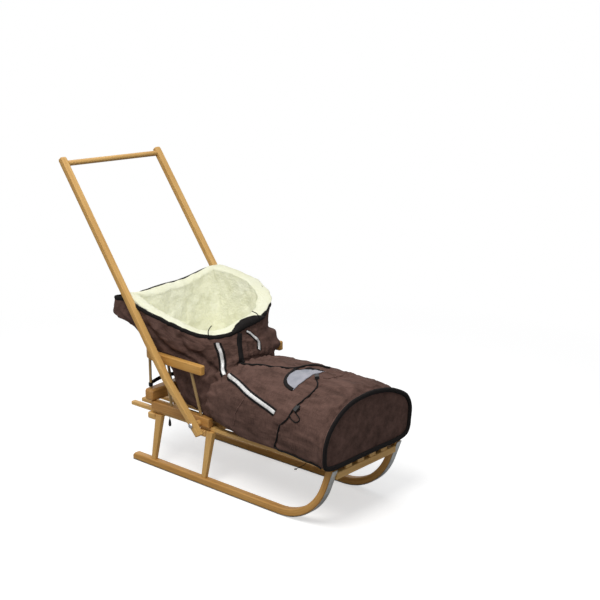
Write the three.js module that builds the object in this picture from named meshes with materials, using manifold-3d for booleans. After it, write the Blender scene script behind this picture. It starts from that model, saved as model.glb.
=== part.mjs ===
// A wooden sledge with a bentwood backrest, a folding push handle and a padded footmuff.
// Millimetres. +X is forward, +Y is the rider's left, +Z is up, and the soles stand on z = 0.
import * as THREE from "three";
import { mergeVertices } from "three/addons/utils/BufferGeometryUtils.js";
import Module from "manifold-3d";

const wasm = await Module();
wasm.setup();

// Driving dimensions
const gap = 0.3;
const overrun = 2;
const runner = {
  spread: 313,
  width: 25,
  wood: 22.4,
  rearX: -436,
  rearCut: 9,
  bendX: 238.5,
  bendRadius: 205,
  bendAngle: THREE.MathUtils.degToRad(69.6),
  tipLength: 67,
  edge: 3,
};
const sole = { thickness: 2, width: 22 };
const seat = {
  topZ: 199,
  halfWidth: 147,
  slatThickness: 13,
  rearX: -459,
  outerSlatWidth: 19,
  innerSlatWidth: 30,
  innerSlats: 4,
  slatEdge: 2.5,
  frontInset: 2,
};
const leg = {
  rearX: -310,
  midX: -68,
  topY: 148,
  lean: 26,
  topDepth: 30,
  topWidth: 18,
  footDepth: 20,
  footWidth: 14,
  corner: 3,
};
const crosspiece = { depth: 35, height: 22, halfLength: 158, corner: 4, edge: 3 };
const frontBar = { faceX: 450, depth: 42, height: 22, corner: 4, edge: 2 };
const board = {
  rearX: -342,
  frontX: -68,
  outerY: 160,
  thickness: 22,
  height: 30.4,
  corner: 5,
  edge: 2,
};
const bearer = {
  rearX: -366,
  depth: 37,
  height: 40,
  halfLength: 166,
  crown: 5,
  corner: 9,
  edge: 5,
};
const hoop = {
  bottomZ: 383,
  height: 31,
  thickness: 20,
  frontX: -62.5,
  frontHalfWidth: 193,
  cornerX: -292,
  cornerHalfWidth: 186,
  cornerRadius: 90,
  edge: 3,
  endRadius: 6,
};
const dowel = {
  radius: 4.8,
  socket: 12,
  facets: 12,
  frontX: -110,
  frontTopX: -119,
  midX: -250,
  midTopX: -252,
  footY: 150,
  backY: 62,
  cornerAngle: THREE.MathUtils.degToRad(43),
};
const bar = {
  lean: THREE.MathUtils.degToRad(35.9),
  footX: -86,
  footZ: 177,
  length: 1037,
  width: 24,
  depth: 21,
  footY: 181.6,
  flareY: 205.9,
  flareAt: 205,
  fullY: 208.7,
  fullAt: 341,
  corner: 4,
  footEdge: 2,
  topRound: 8,
};
const grip = { fromTop: 22, radius: 9.5, tenonRadius: 6, tenon: 14, facets: 24 };
const bolt = {
  above: 39.5,
  radius: 4,
  clearance: 0.4,
  headRadius: 9,
  headHeight: 4,
  nutFlats: 13,
  nutHeight: 6,
  recessRadius: 9,
  recessDepth: 8,
  spacerRadius: 10,
  facets: 24,
};

// The footmuff lies along the seat, climbs the backrest and opens at the top.
const muff = {
  footX: 441,
  footLiftZ: 8,
  footTopZ: 396,
  toeX: 400,
  toeZ: 411,
  coverTopZ: 417,
  lapX: 25,
  lapZ: 412,
  waistX: -22,
  waistZ: 402,
  chestX: -40,
  chestZ: 448,
  rimFrontX: -60,
  rimFrontZ: 490,
  hipX: -290,
  hipZ: 205,
  loinX: -324,
  loinZ: 262,
  backX: -340,
  backZ: 372,
  railX: -356,
  railZ: 420,
  shoulderX: -380,
  shoulderZ: 510,
  rimBackX: -405,
  rimBackZ: 605,
  footHalf: 205,
  toeHalf: 196,
  shinHalf: 187,
  lapHalf: 174,
  hipHalf: 146,
  loinHalf: 152,
  backHalf: 158,
  railHalf: 166,
  shoulderHalf: 186,
  rimHalf: 192,
  shell: 6,
  lining: 12,
  trim: 0.95,
  rings: 18,
  facets: 24,
};
const panel = { thickness: 6 };
const piping = { radius: 5.5, facets: 6, steps: 24 };
const binding = { radius: 4, facets: 6, steps: 24 };
const reflector = { width: 12, thickness: 1.2 };
const placket = { width: 15, thickness: 2 };
const badge = { centreX: 262, centreY: -50, radius: 72, thickness: 1.5, steps: 14, columns: 4 };
const strap = { width: 16, thickness: 2, height: 26, reach: 118, turn: THREE.MathUtils.degToRad(82) };
const cordLock = {
  length: 17,
  width: 13,
  thickness: 10,
  bore: 3.6,
  boreDepth: 9,
  plungerRadius: 3.2,
  plungerOut: 5,
  travel: 3,
  edge: 1.5,
  facets: 16,
};
const elastic = { radius: 1.75, facets: 8, steps: 34 };
const hanger = { topX: -250, x: -302, y: -114, radius: 1.2, facets: 8, steps: 10, dropZ: 161 };
const toggle = { radius: 5, neck: 2.5, length: 24, facets: 16 };
const tie = { topX: 314, topY: -113, radius: 0.85, facets: 8, steps: 8 };

const sides = [
  ["left", 1],
  ["right", -1],
];

// Colours and finishes
const finish = (color, roughness, metalness = 0) => () =>
  new THREE.MeshStandardMaterial({ color, roughness, metalness });
const runnerWood = finish(0xb98a4c, 0.5);
const frameWood = finish(0xcfa468, 0.5);
const paleWood = finish(0xe2c08c, 0.5);
const darkWood = finish(0x9b7040, 0.55);
const dowelWood = finish(0xb3a07c, 0.6);
const soleSteel = finish(0xc9cdcb, 0.35, 0.9);
const zincSteel = finish(0xb4b7ba, 0.4, 0.9);
const melange = finish(0x4b3b38, 0.95);
const fleece = finish(0xe8e6cc, 1);
const blackTrim = finish(0x151314, 0.8);
const reflective = finish(0xd9d9d4, 0.35);
const badgeCloth = finish(0xaeb4bb, 0.7);
const blackPlastic = finish(0x121212, 0.5);

// A mesh in the sledge's own frame
const sledge = new THREE.Group();
function add(name, geometry, material) {
  const mesh = new THREE.Mesh(geometry, material());
  mesh.name = name;
  sledge.add(mesh);
  return mesh;
}

// Shapes and solids
function roundedRect(width, height, radius) {
  const x = width / 2 - radius;
  const y = height / 2 - radius;
  const shape = new THREE.Shape();
  shape.absarc(x, y, radius, 0, Math.PI / 2, false);
  shape.absarc(-x, y, radius, Math.PI / 2, Math.PI, false);
  shape.absarc(-x, -y, radius, Math.PI, Math.PI * 1.5, false);
  shape.absarc(x, -y, radius, Math.PI * 1.5, Math.PI * 2, false);
  return shape;
}

// An extrusion centred on its own length, with rounded end edges that keep the outline's size
function prism(shape, length, edge, curveSegments = 2) {
  const geometry = new THREE.ExtrudeGeometry(shape, {
    depth: length - 2 * edge,
    bevelEnabled: edge > 0,
    bevelThickness: edge,
    bevelSize: edge,
    bevelOffset: -edge,
    bevelSegments: 1,
    curveSegments,
  });
  return geometry.translate(0, 0, edge - length / 2);
}

// The shape's x and y become Y and Z, and the length runs along X
const alongX = new THREE.Matrix4().makeBasis(
  new THREE.Vector3(0, 1, 0),
  new THREE.Vector3(0, 0, 1),
  new THREE.Vector3(1, 0, 0),
);
const prismX = (...values) => prism(...values).applyMatrix4(alongX);
const prismY = (...values) => prism(...values).rotateX(Math.PI / 2);

// A closed geometry from rings of points, with a fan over each end or the last ring joined to the first
// From the turning ring on, the rings run back, and their quads are split along the matching diagonal
function loft(rings, closed = false, turning = rings.length) {
  const count = rings[0].length;
  const points = rings.flat();
  const faces = [];
  const quad = (a, b, i) => {
    const j = (i + 1) % count;
    const [p, q] = [a * count, b * count];
    if (a < turning) {
      faces.push(p + i, q + i, q + j, p + i, q + j, p + j);
    } else {
      faces.push(p + i, q + i, p + j, q + i, q + j, p + j);
    }
  };
  for (let ring = 0; ring + 1 < rings.length; ring += 1) {
    for (let i = 0; i < count; i += 1) {
      quad(ring, ring + 1, i);
    }
  }
  if (closed) {
    for (let i = 0; i < count; i += 1) {
      quad(rings.length - 1, 0, i);
    }
  } else {
    const ends = [rings[0], rings[rings.length - 1]];
    ends.forEach((ring, end) => {
      const middle = new THREE.Vector3();
      ring.forEach((point) => middle.addScaledVector(point, 1 / count));
      points.push(middle);
      const base = end ? (rings.length - 1) * count : 0;
      for (let i = 0; i < count; i += 1) {
        const j = (i + 1) % count;
        const pair = end ? [base + i, points.length - 1] : [points.length - 1, base + i];
        faces.push(...pair, base + j);
      }
    });
  }
  return outward(points, faces);
}

// Turns a surface inside out if its volume is negative
function outward(points, faces) {
  let volume = 0;
  for (let i = 0; i < faces.length; i += 3) {
    const [a, b, c] = [points[faces[i]], points[faces[i + 1]], points[faces[i + 2]]];
    volume += a.dot(b.clone().cross(c));
  }
  const order = volume < 0 ? faces.toReversed() : faces;
  const geometry = new THREE.BufferGeometry().setFromPoints(points);
  geometry.setIndex(order);
  geometry.computeVertexNormals();
  return geometry;
}

function toSolid(geometry) {
  const bare = geometry.clone();
  bare.deleteAttribute("normal");
  bare.deleteAttribute("uv");
  const merged = mergeVertices(bare);
  return new wasm.Manifold(
    new wasm.Mesh({
      numProp: 3,
      vertProperties: new Float32Array(merged.attributes.position.array),
      triVerts: new Uint32Array(merged.index.array),
    }),
  );
}

function toGeometry(solid) {
  const mesh = solid.getMesh();
  const geometry = new THREE.BufferGeometry();
  geometry.setAttribute("position", new THREE.BufferAttribute(mesh.vertProperties, 3));
  geometry.setIndex(new THREE.BufferAttribute(mesh.triVerts, 1));
  geometry.computeVertexNormals();
  return geometry;
}

const carve = (geometry, cutters) =>
  toGeometry(cutters.reduce((solid, cutter) => solid.subtract(toSolid(cutter)), toSolid(geometry)));
const fuse = (first, second) => toGeometry(toSolid(first).add(toSolid(second)));

// A rod between two points
function rod(from, to, radius, facets) {
  const along = to.clone().sub(from);
  const geometry = new THREE.CylinderGeometry(radius, radius, along.length(), facets);
  const turn = new THREE.Quaternion().setFromUnitVectors(
    new THREE.Vector3(0, 1, 0),
    along.clone().normalize(),
  );
  geometry.applyQuaternion(turn);
  const middle = from.clone().add(to).divideScalar(2);
  return geometry.translate(middle.x, middle.y, middle.z);
}

// A tube with open-sky ends along a list of points
function tube(points, radius, facets, steps) {
  const section = new THREE.Shape();
  section.absarc(0, 0, radius, 0, Math.PI * 2, false);
  return new THREE.ExtrudeGeometry(section, {
    steps,
    curveSegments: facets / 2,
    bevelEnabled: false,
    extrudePath: new THREE.CatmullRomCurve3(points, false, "centripetal"),
  });
}

// Runners: straight sole, an arc at the front and a straight rise to the tip
const tipRise = { x: Math.cos(runner.bendAngle), z: Math.sin(runner.bendAngle) };
const height = sole.thickness + gap + runner.wood;
function runnerOutline(low, high, cut) {
  const at = (offset, along) => [
    runner.bendX + (runner.bendRadius - offset) * tipRise.z + along * tipRise.x,
    runner.bendRadius - (runner.bendRadius - offset) * tipRise.x + along * tipRise.z,
  ];
  const start = -Math.PI / 2;
  const end = start + runner.bendAngle;
  const shape = new THREE.Shape();
  shape.moveTo(runner.rearX, low);
  shape.lineTo(runner.bendX, low);
  shape.absarc(runner.bendX, runner.bendRadius, runner.bendRadius - low, start, end, false);
  shape.lineTo(...at(low, runner.tipLength));
  shape.lineTo(...at(high, runner.tipLength));
  shape.absarc(runner.bendX, runner.bendRadius, runner.bendRadius - high, end, start, true);
  shape.lineTo(runner.rearX + cut, high);
  if (cut) {
    shape.lineTo(runner.rearX, high - cut);
  }
  return shape;
}

// Front face of the curl at a height above the bend
function curlFrontX(z) {
  const endX = runner.bendX + runner.bendRadius * tipRise.z;
  const endZ = runner.bendRadius - runner.bendRadius * tipRise.x;
  return endX + ((z - endZ) * tipRise.x) / tipRise.z;
}

function addRunners() {
  const wood = runnerOutline(sole.thickness + gap, height, runner.rearCut);
  const steel = runnerOutline(0, sole.thickness, 0);
  for (const [side, sign] of sides) {
    const y = (sign * runner.spread) / 2;
    add(`runner_${side}`, prismY(wood, runner.width, runner.edge, 8), runnerWood).position.y = y;
    add(`sole_strip_${side}`, prismY(steel, sole.width, 0, 8), soleSteel).position.y = y;
  }
}

// Legs: tapered, leaning back and splayed onto the runners
const slatUnderZ = seat.topZ - seat.slatThickness;
const legTopZ = slatUnderZ - gap;
const legFootZ = height + gap;
function sectionRing(x, y, z, depth, width, corner) {
  const outline = roundedRect(depth, width, corner).getPoints(1);
  outline.pop();
  return outline.map((point) => new THREE.Vector3(x + point.x, y + point.y, z));
}

function addLegs() {
  const places = [
    ["rear", leg.rearX],
    ["mid", leg.midX],
  ];
  for (const [place, x] of places) {
    for (const [side, sign] of sides) {
      const footY = (sign * runner.spread) / 2;
      const foot = [x - leg.lean, footY, legFootZ, leg.footDepth, leg.footWidth, leg.corner];
      const top = [x, sign * leg.topY, legTopZ, leg.topDepth, leg.topWidth, leg.corner];
      add(`leg_${place}_${side}`, loft([sectionRing(...foot), sectionRing(...top)]), frameWood);
    }
  }
}

// Crosspieces behind the legs, and the bar between the curls
const barTopZ = slatUnderZ - gap;
function crosspieceX(legX) {
  const leanThere = (leg.lean * crosspiece.height) / (legTopZ - legFootZ);
  return legX - leg.topDepth / 2 - leanThere - gap - crosspiece.depth / 2;
}

function addCrosspieces() {
  const section = roundedRect(crosspiece.depth, crosspiece.height, crosspiece.corner);
  const pieces = [
    ["crosspiece_rear", crosspieceX(leg.rearX)],
    ["crosspiece_mid", crosspieceX(leg.midX)],
  ];
  for (const [name, x] of pieces) {
    const piece = add(name, prismY(section, 2 * crosspiece.halfLength, crosspiece.edge), frameWood);
    piece.position.set(x, 0, barTopZ - crosspiece.height / 2);
  }
  const length = runner.spread - runner.width - 2 * gap;
  const frontSection = roundedRect(frontBar.depth, frontBar.height, frontBar.corner);
  const front = add("front_crossbar", prismY(frontSection, length, frontBar.edge), paleWood);
  front.position.set(frontBar.faceX - frontBar.depth / 2, 0, barTopZ - frontBar.height / 2);
}

// Seat slats: the outer pair ends behind the curls, the inner ones reach the front bar's face
function addSlats() {
  const curlInnerX = curlFrontX(slatUnderZ) - height / tipRise.z;
  const outerY = seat.halfWidth - seat.outerSlatWidth / 2;
  const innerFree = 2 * (seat.halfWidth - seat.outerSlatWidth) - seat.innerSlats * seat.innerSlatWidth;
  const space = innerFree / (seat.innerSlats + 1);
  const rows = [[outerY, seat.outerSlatWidth, curlInnerX - gap]];
  for (let i = 0; i < seat.innerSlats; i += 1) {
    const fromEdge = seat.outerSlatWidth + space + i * (seat.innerSlatWidth + space);
    const y = seat.halfWidth - fromEdge - seat.innerSlatWidth / 2;
    rows.push([y, seat.innerSlatWidth, frontBar.faceX - seat.frontInset]);
  }
  rows.push([-outerY, seat.outerSlatWidth, curlInnerX - gap]);
  rows.forEach(([y, width, frontX], i) => {
    const section = roundedRect(width, seat.slatThickness, seat.slatEdge);
    const slat = add(`seat_slat_${i + 1}`, prismX(section, frontX - seat.rearX, seat.slatEdge / 2), paleWood);
    slat.position.set((frontX + seat.rearX) / 2, y, seat.topZ - seat.slatThickness / 2);
  });
}

// Backrest frame: where each dowel leaves its foot piece and enters the hoop
const boardBottomZ = seat.topZ + gap;
const boardTopZ = boardBottomZ + board.height;
const bearerBottomZ = boardTopZ + gap;
const bearerTopZ = bearerBottomZ + bearer.height;
const bearerX = bearer.rearX + bearer.depth / 2;
const armSlope =
  (hoop.frontHalfWidth - hoop.cornerHalfWidth) / (hoop.frontX - hoop.cornerX);
const armCentreY = (x) =>
  hoop.cornerHalfWidth + (x - hoop.cornerX) * armSlope - hoop.thickness / 2;
const cornerCentreY = hoop.cornerHalfWidth - hoop.cornerRadius;
const cornerMidRadius = hoop.cornerRadius - hoop.thickness / 2;
const hoopBackX = hoop.cornerX - cornerMidRadius;

// The bearer's top edge is a shallow arch
const bearerTopAt = (y) => bearerTopZ + bearer.crown * (1 - (y / bearer.halfLength) ** 2);

function dowelEnds(sign) {
  const cornerX = hoop.cornerX - cornerMidRadius * Math.cos(dowel.cornerAngle);
  const cornerY = sign * (cornerCentreY + cornerMidRadius * Math.sin(dowel.cornerAngle));
  return {
    front: [
      [dowel.frontX, sign * dowel.footY, boardTopZ],
      [dowel.frontTopX, sign * armCentreY(dowel.frontTopX), hoop.bottomZ],
    ],
    mid: [
      [dowel.midX, sign * dowel.footY, boardTopZ],
      [dowel.midTopX, sign * armCentreY(dowel.midTopX), hoop.bottomZ],
    ],
    corner: [
      [cornerX, cornerY, bearerTopAt(cornerY)],
      [cornerX, cornerY, hoop.bottomZ],
    ],
    back: [
      [bearerX, sign * dowel.backY, bearerTopAt(dowel.backY)],
      [hoopBackX, sign * dowel.backY, hoop.bottomZ],
    ],
  };
}

// The dowel, and the two sockets that it sits in
function dowelParts([footPlace, topPlace]) {
  const foot = new THREE.Vector3(...footPlace);
  const top = new THREE.Vector3(...topPlace);
  const along = top.clone().sub(foot).normalize();
  const at = (point, distance) => point.clone().addScaledVector(along, distance);
  const wide = dowel.radius + gap;
  return {
    pin: rod(at(foot, gap - dowel.socket), at(top, dowel.socket - gap), dowel.radius, dowel.facets),
    footSocket: rod(at(foot, -dowel.socket), at(foot, dowel.socket), wide, dowel.facets),
    topSocket: rod(at(top, -dowel.socket), at(top, dowel.socket), wide, dowel.facets),
  };
}

const dowels = Object.fromEntries(
  sides.map(([side, sign]) => {
    const parts = Object.entries(dowelEnds(sign)).map(([place, ends]) => [place, dowelParts(ends)]);
    return [side, Object.fromEntries(parts)];
  }),
);

// Push handle: a bar on each side that leans back and flares to clear the armrest
const barUp = new THREE.Vector3(-Math.sin(bar.lean), 0, Math.cos(bar.lean));
const barFront = new THREE.Vector3(Math.cos(bar.lean), 0, Math.sin(bar.lean));
const barFoot = new THREE.Vector3(bar.footX, 0, bar.footZ);
function barY(along) {
  const stops = [
    [0, bar.footY],
    [bar.flareAt, bar.flareY],
    [bar.fullAt, bar.fullY],
    [bar.length, bar.fullY],
  ];
  const next = Math.max(1, stops.findIndex(([stop]) => stop >= along));
  const [[fromAt, fromY], [toAt, toY]] = [stops[next - 1], stops[next]];
  return THREE.MathUtils.mapLinear(along, fromAt, toAt, fromY, toY);
}
const pivot = barFoot.clone().addScaledVector(barUp, bolt.above);

// How far the flared bar's face moves sideways within a radius round the pivot
const flareWithin = (radius) => (radius * (bar.flareY - bar.footY)) / bar.flareAt;
const boltRod = (sign, fromY, toY, radius) =>
  rod(
    new THREE.Vector3(pivot.x, sign * fromY, pivot.z),
    new THREE.Vector3(pivot.x, sign * toY, pivot.z),
    radius,
    bolt.facets,
  );

function addBackrestBoards() {
  const section = new THREE.Shape();
  const rear = board.rearX;
  const front = board.frontX;
  section.moveTo(rear, boardBottomZ);
  section.lineTo(front, boardBottomZ);
  section.absarc(front - board.corner, boardTopZ - board.corner, board.corner, 0, Math.PI / 2, false);
  section.absarc(rear + board.corner, boardTopZ - board.corner, board.corner, Math.PI / 2, Math.PI, false);
  const innerY = board.outerY - board.thickness;
  for (const [side, sign] of sides) {
    const blank = prismY(section, board.thickness, board.edge);
    blank.translate(0, sign * (board.outerY - board.thickness / 2), 0);
    const cutters = [
      dowels[side].front.footSocket,
      dowels[side].mid.footSocket,
      boltRod(sign, innerY - overrun, board.outerY + overrun, bolt.radius + bolt.clearance),
      boltRod(sign, innerY - overrun, innerY + bolt.recessDepth, bolt.recessRadius),
    ];
    add(`backrest_board_${side}`, carve(blank, cutters), darkWood);
  }
}

function addBearer() {
  const section = new THREE.Shape();
  const half = bearer.halfLength;
  const low = bearerBottomZ + bearer.corner;
  const high = bearerTopZ - bearer.corner;
  section.absarc(half - bearer.corner, low, bearer.corner, -Math.PI / 2, 0, false);
  section.absarc(half - bearer.corner, high, bearer.corner, 0, Math.PI / 2, false);
  section.quadraticCurveTo(0, bearerTopZ + 2 * bearer.crown, bearer.corner - half, bearerTopZ);
  section.absarc(bearer.corner - half, high, bearer.corner, Math.PI / 2, Math.PI, false);
  section.absarc(bearer.corner - half, low, bearer.corner, Math.PI, Math.PI * 1.5, false);
  const blank = prismX(section, bearer.depth, bearer.edge, 4).translate(bearerX, 0, 0);
  const cutters = sides.flatMap(([side]) => [
    dowels[side].corner.footSocket,
    dowels[side].back.footSocket,
  ]);
  add("back_bearer", carve(blank, cutters), darkWood);
}

// The hoop's plan: two arms, two round corners and a straight back
function hoopOutline() {
  const shape = new THREE.Shape();
  const inner = hoop.cornerRadius - hoop.thickness;
  const tipOuter = hoop.frontHalfWidth;
  const tipInner = tipOuter - hoop.thickness;
  const r = hoop.endRadius;
  const tipX = hoop.frontX - r;
  const [half, full] = [Math.PI / 2, Math.PI];
  shape.absarc(tipX, tipOuter - r, r, 0, half, false);
  shape.absarc(hoop.cornerX, cornerCentreY, hoop.cornerRadius, half, full, false);
  shape.absarc(hoop.cornerX, -cornerCentreY, hoop.cornerRadius, full, full + half, false);
  shape.absarc(tipX, r - tipOuter, r, -half, 0, false);
  shape.absarc(tipX, -tipInner - r, r, 0, half, false);
  shape.absarc(hoop.cornerX, -cornerCentreY, inner, full + half, full, true);
  shape.absarc(hoop.cornerX, cornerCentreY, inner, full, half, true);
  shape.absarc(tipX, tipInner + r, r, -half, 0, false);
  return shape;
}

function addHoopAndDowels() {
  const blank = prism(hoopOutline(), hoop.height, hoop.edge, 4);
  blank.translate(0, 0, hoop.bottomZ + hoop.height / 2);
  const sockets = sides.flatMap(([side]) =>
    Object.values(dowels[side]).map((parts) => parts.topSocket),
  );
  add("armrest_hoop", carve(blank, sockets), paleWood);
  for (const [side] of sides) {
    for (const [place, parts] of Object.entries(dowels[side])) {
      add(`dowel_${place}_${side}`, parts.pin, dowelWood);
    }
  }
}

function addHandle() {
  const gripAt = bar.length - grip.fromTop;
  const gripCentre = barFoot.clone().addScaledVector(barUp, gripAt);
  const innerY = bar.fullY - bar.width / 2;
  const stops = [
    [0, bar.footEdge],
    [bar.footEdge, 0],
    [bar.flareAt, 0],
    [bar.fullAt, 0],
    [bar.length - bar.topRound, 0],
    [bar.length - bar.topRound * 0.3, bar.topRound * 0.35],
    [bar.length, bar.topRound],
  ];
  for (const [side, sign] of sides) {
    const rings = stops.map(([along, drawn]) => {
      const outline = roundedRect(bar.depth - drawn, bar.width - drawn, bar.corner / (1 + drawn / bar.corner));
      const points = outline.getPoints(1);
      points.pop();
      return points.map((point) =>
        barFoot
          .clone()
          .addScaledVector(barUp, along)
          .addScaledVector(barFront, point.x)
          .setY(sign * barY(along) + point.y),
      );
    });
    const boltHole = boltRod(sign, 0, 2 * bar.fullY, bolt.radius + bolt.clearance);
    const socket = rod(
      gripCentre.clone().setY(sign * (innerY - overrun)),
      gripCentre.clone().setY(sign * (innerY + grip.tenon + gap)),
      grip.tenonRadius + gap,
      grip.facets,
    );
    add(`push_bar_${side}`, carve(loft(rings), [boltHole, socket]), frameWood);
  }
  const profile = [
    [0, 0],
    [grip.tenonRadius, 0],
    [grip.tenonRadius, grip.tenon + gap],
    [grip.radius, grip.tenon + gap],
    [grip.radius, 2 * innerY + grip.tenon - gap],
    [grip.tenonRadius, 2 * innerY + grip.tenon - gap],
    [grip.tenonRadius, 2 * (innerY + grip.tenon)],
    [0, 2 * (innerY + grip.tenon)],
  ].map((point) => new THREE.Vector2(...point));
  const handle = add("handle_grip", new THREE.LatheGeometry(profile, grip.facets), frameWood);
  handle.position.copy(gripCentre).setY(-innerY - grip.tenon);
}

// Pivot bolts, their nuts in the boards' recesses, and the spacers under the bars
function addPivotHardware() {
  const barOuterY = barY(bolt.above) + bar.width / 2 + flareWithin(bolt.headRadius) + gap;
  const barInnerY = barY(bolt.above) - bar.width / 2 - flareWithin(bolt.spacerRadius) - gap;
  const boardInnerY = board.outerY - board.thickness;
  const nutFarY = boardInnerY + bolt.recessDepth - gap;
  const nutRadius = bolt.nutFlats / Math.sqrt(3);
  const shank = barOuterY - boardInnerY;
  const profile = [
    [0, 0],
    [bolt.radius, 0],
    [bolt.radius, shank],
    [bolt.headRadius, shank],
    [bolt.headRadius * 0.8, shank + bolt.headHeight * 0.6],
    [bolt.headRadius * 0.45, shank + bolt.headHeight * 0.9],
    [0, shank + bolt.headHeight],
  ].map((point) => new THREE.Vector2(...point));
  for (const [side, sign] of sides) {
    const pin = new THREE.LatheGeometry(profile, bolt.facets).rotateX(sign > 0 ? 0 : Math.PI);
    add(`pivot_bolt_${side}`, pin, zincSteel).position.set(pivot.x, sign * boardInnerY, pivot.z);
    const bore = bolt.radius + bolt.clearance;
    const hex = new THREE.CylinderGeometry(nutRadius, nutRadius, bolt.nutHeight, 6);
    hex.translate(pivot.x, sign * (nutFarY - bolt.nutHeight / 2), pivot.z);
    const through = boltRod(sign, 0, barOuterY, bore);
    add(`pivot_nut_${side}`, carve(hex, [through]), zincSteel);
    const sleeve = boltRod(sign, board.outerY + gap, barInnerY, bolt.spacerRadius);
    add(`pivot_spacer_${side}`, carve(sleeve, [through]), frameWood);
  }
}

// Footmuff surface: a share along its length and an angle round its section
const soleZ = seat.topZ + 2 * gap;
const lowerLine = [
  [muff.footX, seat.topZ + muff.footLiftZ],
  [muff.toeX, soleZ],
  [muff.toeX * 0.65, soleZ],
  [muff.toeX * 0.3, soleZ],
  [muff.waistX, soleZ],
  [(muff.waistX + muff.hipX) / 2, soleZ],
  [muff.hipX, muff.hipZ],
  [muff.loinX, muff.loinZ],
  [muff.backX, muff.backZ],
  [muff.railX, muff.railZ],
  [muff.shoulderX, muff.shoulderZ],
  [muff.rimBackX, muff.rimBackZ],
];
const chestRise = (share) => [
  THREE.MathUtils.lerp(muff.waistX, muff.rimFrontX, share),
  THREE.MathUtils.lerp(muff.waistZ, muff.rimFrontZ, share),
];
const upperLine = [
  [muff.footX, muff.footTopZ],
  [muff.toeX, muff.toeZ],
  [muff.toeX * 0.63, muff.coverTopZ],
  [muff.toeX * 0.28, muff.coverTopZ],
  [muff.lapX, muff.lapZ],
  [muff.waistX, muff.waistZ],
  chestRise(0.12),
  chestRise(0.3),
  [muff.chestX, muff.chestZ],
  chestRise(0.68),
  chestRise(0.84),
  [muff.rimFrontX, muff.rimFrontZ],
];
const halfWidths = [
  muff.footHalf,
  muff.toeHalf,
  muff.shinHalf,
  muff.shinHalf,
  muff.lapHalf,
  muff.hipHalf,
  muff.hipHalf,
  muff.loinHalf,
  muff.backHalf,
  muff.railHalf,
  muff.shoulderHalf,
  muff.rimHalf,
];
const widestShares = [0.25, 0.35, 0.42, 0.42, 0.42, 0.42, 0.4, 0.35, 0.3, 0.26, 0.22, 0.2];
const lowerPowerShares = [5, 3.5, 2.6, 2.6, 2.6, 2.6, 2.6, 3, 3, 3, 3.5, 4];
const upperPowerShares = [2.1, 2.1, 2.2, 2.2, 2.2, 2.2, 2.2, 2.2, 2.2, 2.2, 2.2, 2.2];

// A smooth value through evenly spaced stations
function smooth(values, share) {
  const last = values.length - 1;
  const place = THREE.MathUtils.clamp(share, 0, 1) * last;
  const i = Math.min(Math.floor(place), last - 1);
  const f = place - i;
  const before = i > 0 ? values[i - 1] : 2 * values[0] - values[1];
  const after = i + 2 <= last ? values[i + 2] : 2 * values[last] - values[last - 1];
  const [a, b] = [values[i], values[i + 1]];
  const linear = b - before;
  const square = 2 * before - 5 * a + 4 * b - after;
  const cube = 3 * (a - b) + after - before;
  return a + (f * (linear + f * (square + f * cube))) / 2;
}
const smoothPoint = (line, share) =>
  new THREE.Vector2(smooth(line.map(([x]) => x), share), smooth(line.map(([, z]) => z), share));

function muffPoint(share, angle, inset = 0) {
  const low = smoothPoint(lowerLine, share);
  low.y = Math.max(low.y, soleZ);
  const high = smoothPoint(upperLine, share);
  const along = high.clone().sub(low);
  const span = along.length();
  along.divideScalar(span);
  const widest = smooth(widestShares, share);
  const upper = Math.sin(angle) > 0;
  const power = smooth(upper ? upperPowerShares : lowerPowerShares, share);
  const reach = (upper ? 1 - widest : widest) * span - inset;
  const bow = (value) => Math.sign(value) * Math.abs(value) ** (2 / power);
  const across = bow(Math.cos(angle)) * (smooth(halfWidths, share) - inset);
  const place = low.addScaledVector(along, widest * span + bow(Math.sin(angle)) * reach);
  return new THREE.Vector3(place.x, across, place.y);
}

// Angles round a section at even steps of its outline's length
function evenAngles(share, facets) {
  const fine = 240;
  const lengths = [0];
  for (let i = 1; i <= fine; i += 1) {
    const here = muffPoint(share, (2 * Math.PI * i) / fine);
    const before = muffPoint(share, (2 * Math.PI * (i - 1)) / fine);
    lengths.push(lengths[i - 1] + here.distanceTo(before));
  }
  const angles = [];
  for (let i = 0; i < facets; i += 1) {
    const target = (lengths[fine] * i) / facets;
    const next = lengths.findIndex((length) => length > target);
    const part = (target - lengths[next - 1]) / (lengths[next] - lengths[next - 1]);
    angles.push((2 * Math.PI * (next - 1 + part)) / fine);
  }
  return angles;
}
const muffRing = (share, inset, facets) =>
  evenAngles(share, facets).map((angle) => muffPoint(share, angle, inset));

// A sleeve from one share of the length to another, with an optional closed foot
function muffSleeve(from, to, outer, inner, footWall) {
  const shares = [];
  for (let i = 0; i <= muff.rings; i += 1) {
    shares.push(THREE.MathUtils.lerp(from, to, i / muff.rings));
  }
  const outside = shares.map((share) => muffRing(share, outer, muff.facets));
  const inside = shares.map((share) => muffRing(share, inner, muff.facets));
  if (!footWall) {
    return loft([...outside, ...inside.toReversed()], true, outside.length);
  }
  inside[0].forEach((point) => point.setX(point.x - footWall));
  return loft([...outside, ...inside.toReversed()], false, outside.length);
}

// The surface's outward direction, and the place where it meets the faceted shell, lifted a little
const caster = new THREE.Raycaster();
let shellMesh;
function dropOnShell(point, normal, lift) {
  caster.set(point.clone().addScaledVector(normal, muff.shell), normal.clone().negate());
  const [hit] = caster.intersectObject(shellMesh);
  return hit.point.addScaledVector(normal, lift);
}

function muffAbove(share, angle, lift) {
  const step = 0.004;
  const point = muffPoint(share, angle);
  const alongEdge = muffPoint(Math.min(share + step, 1), angle).sub(muffPoint(Math.max(share - step, 0), angle));
  const roundEdge = muffPoint(share, angle + step).sub(muffPoint(share, angle - step));
  const normal = alongEdge.cross(roundEdge).normalize();
  return { point: dropOnShell(point, normal, lift), normal };
}

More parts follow.
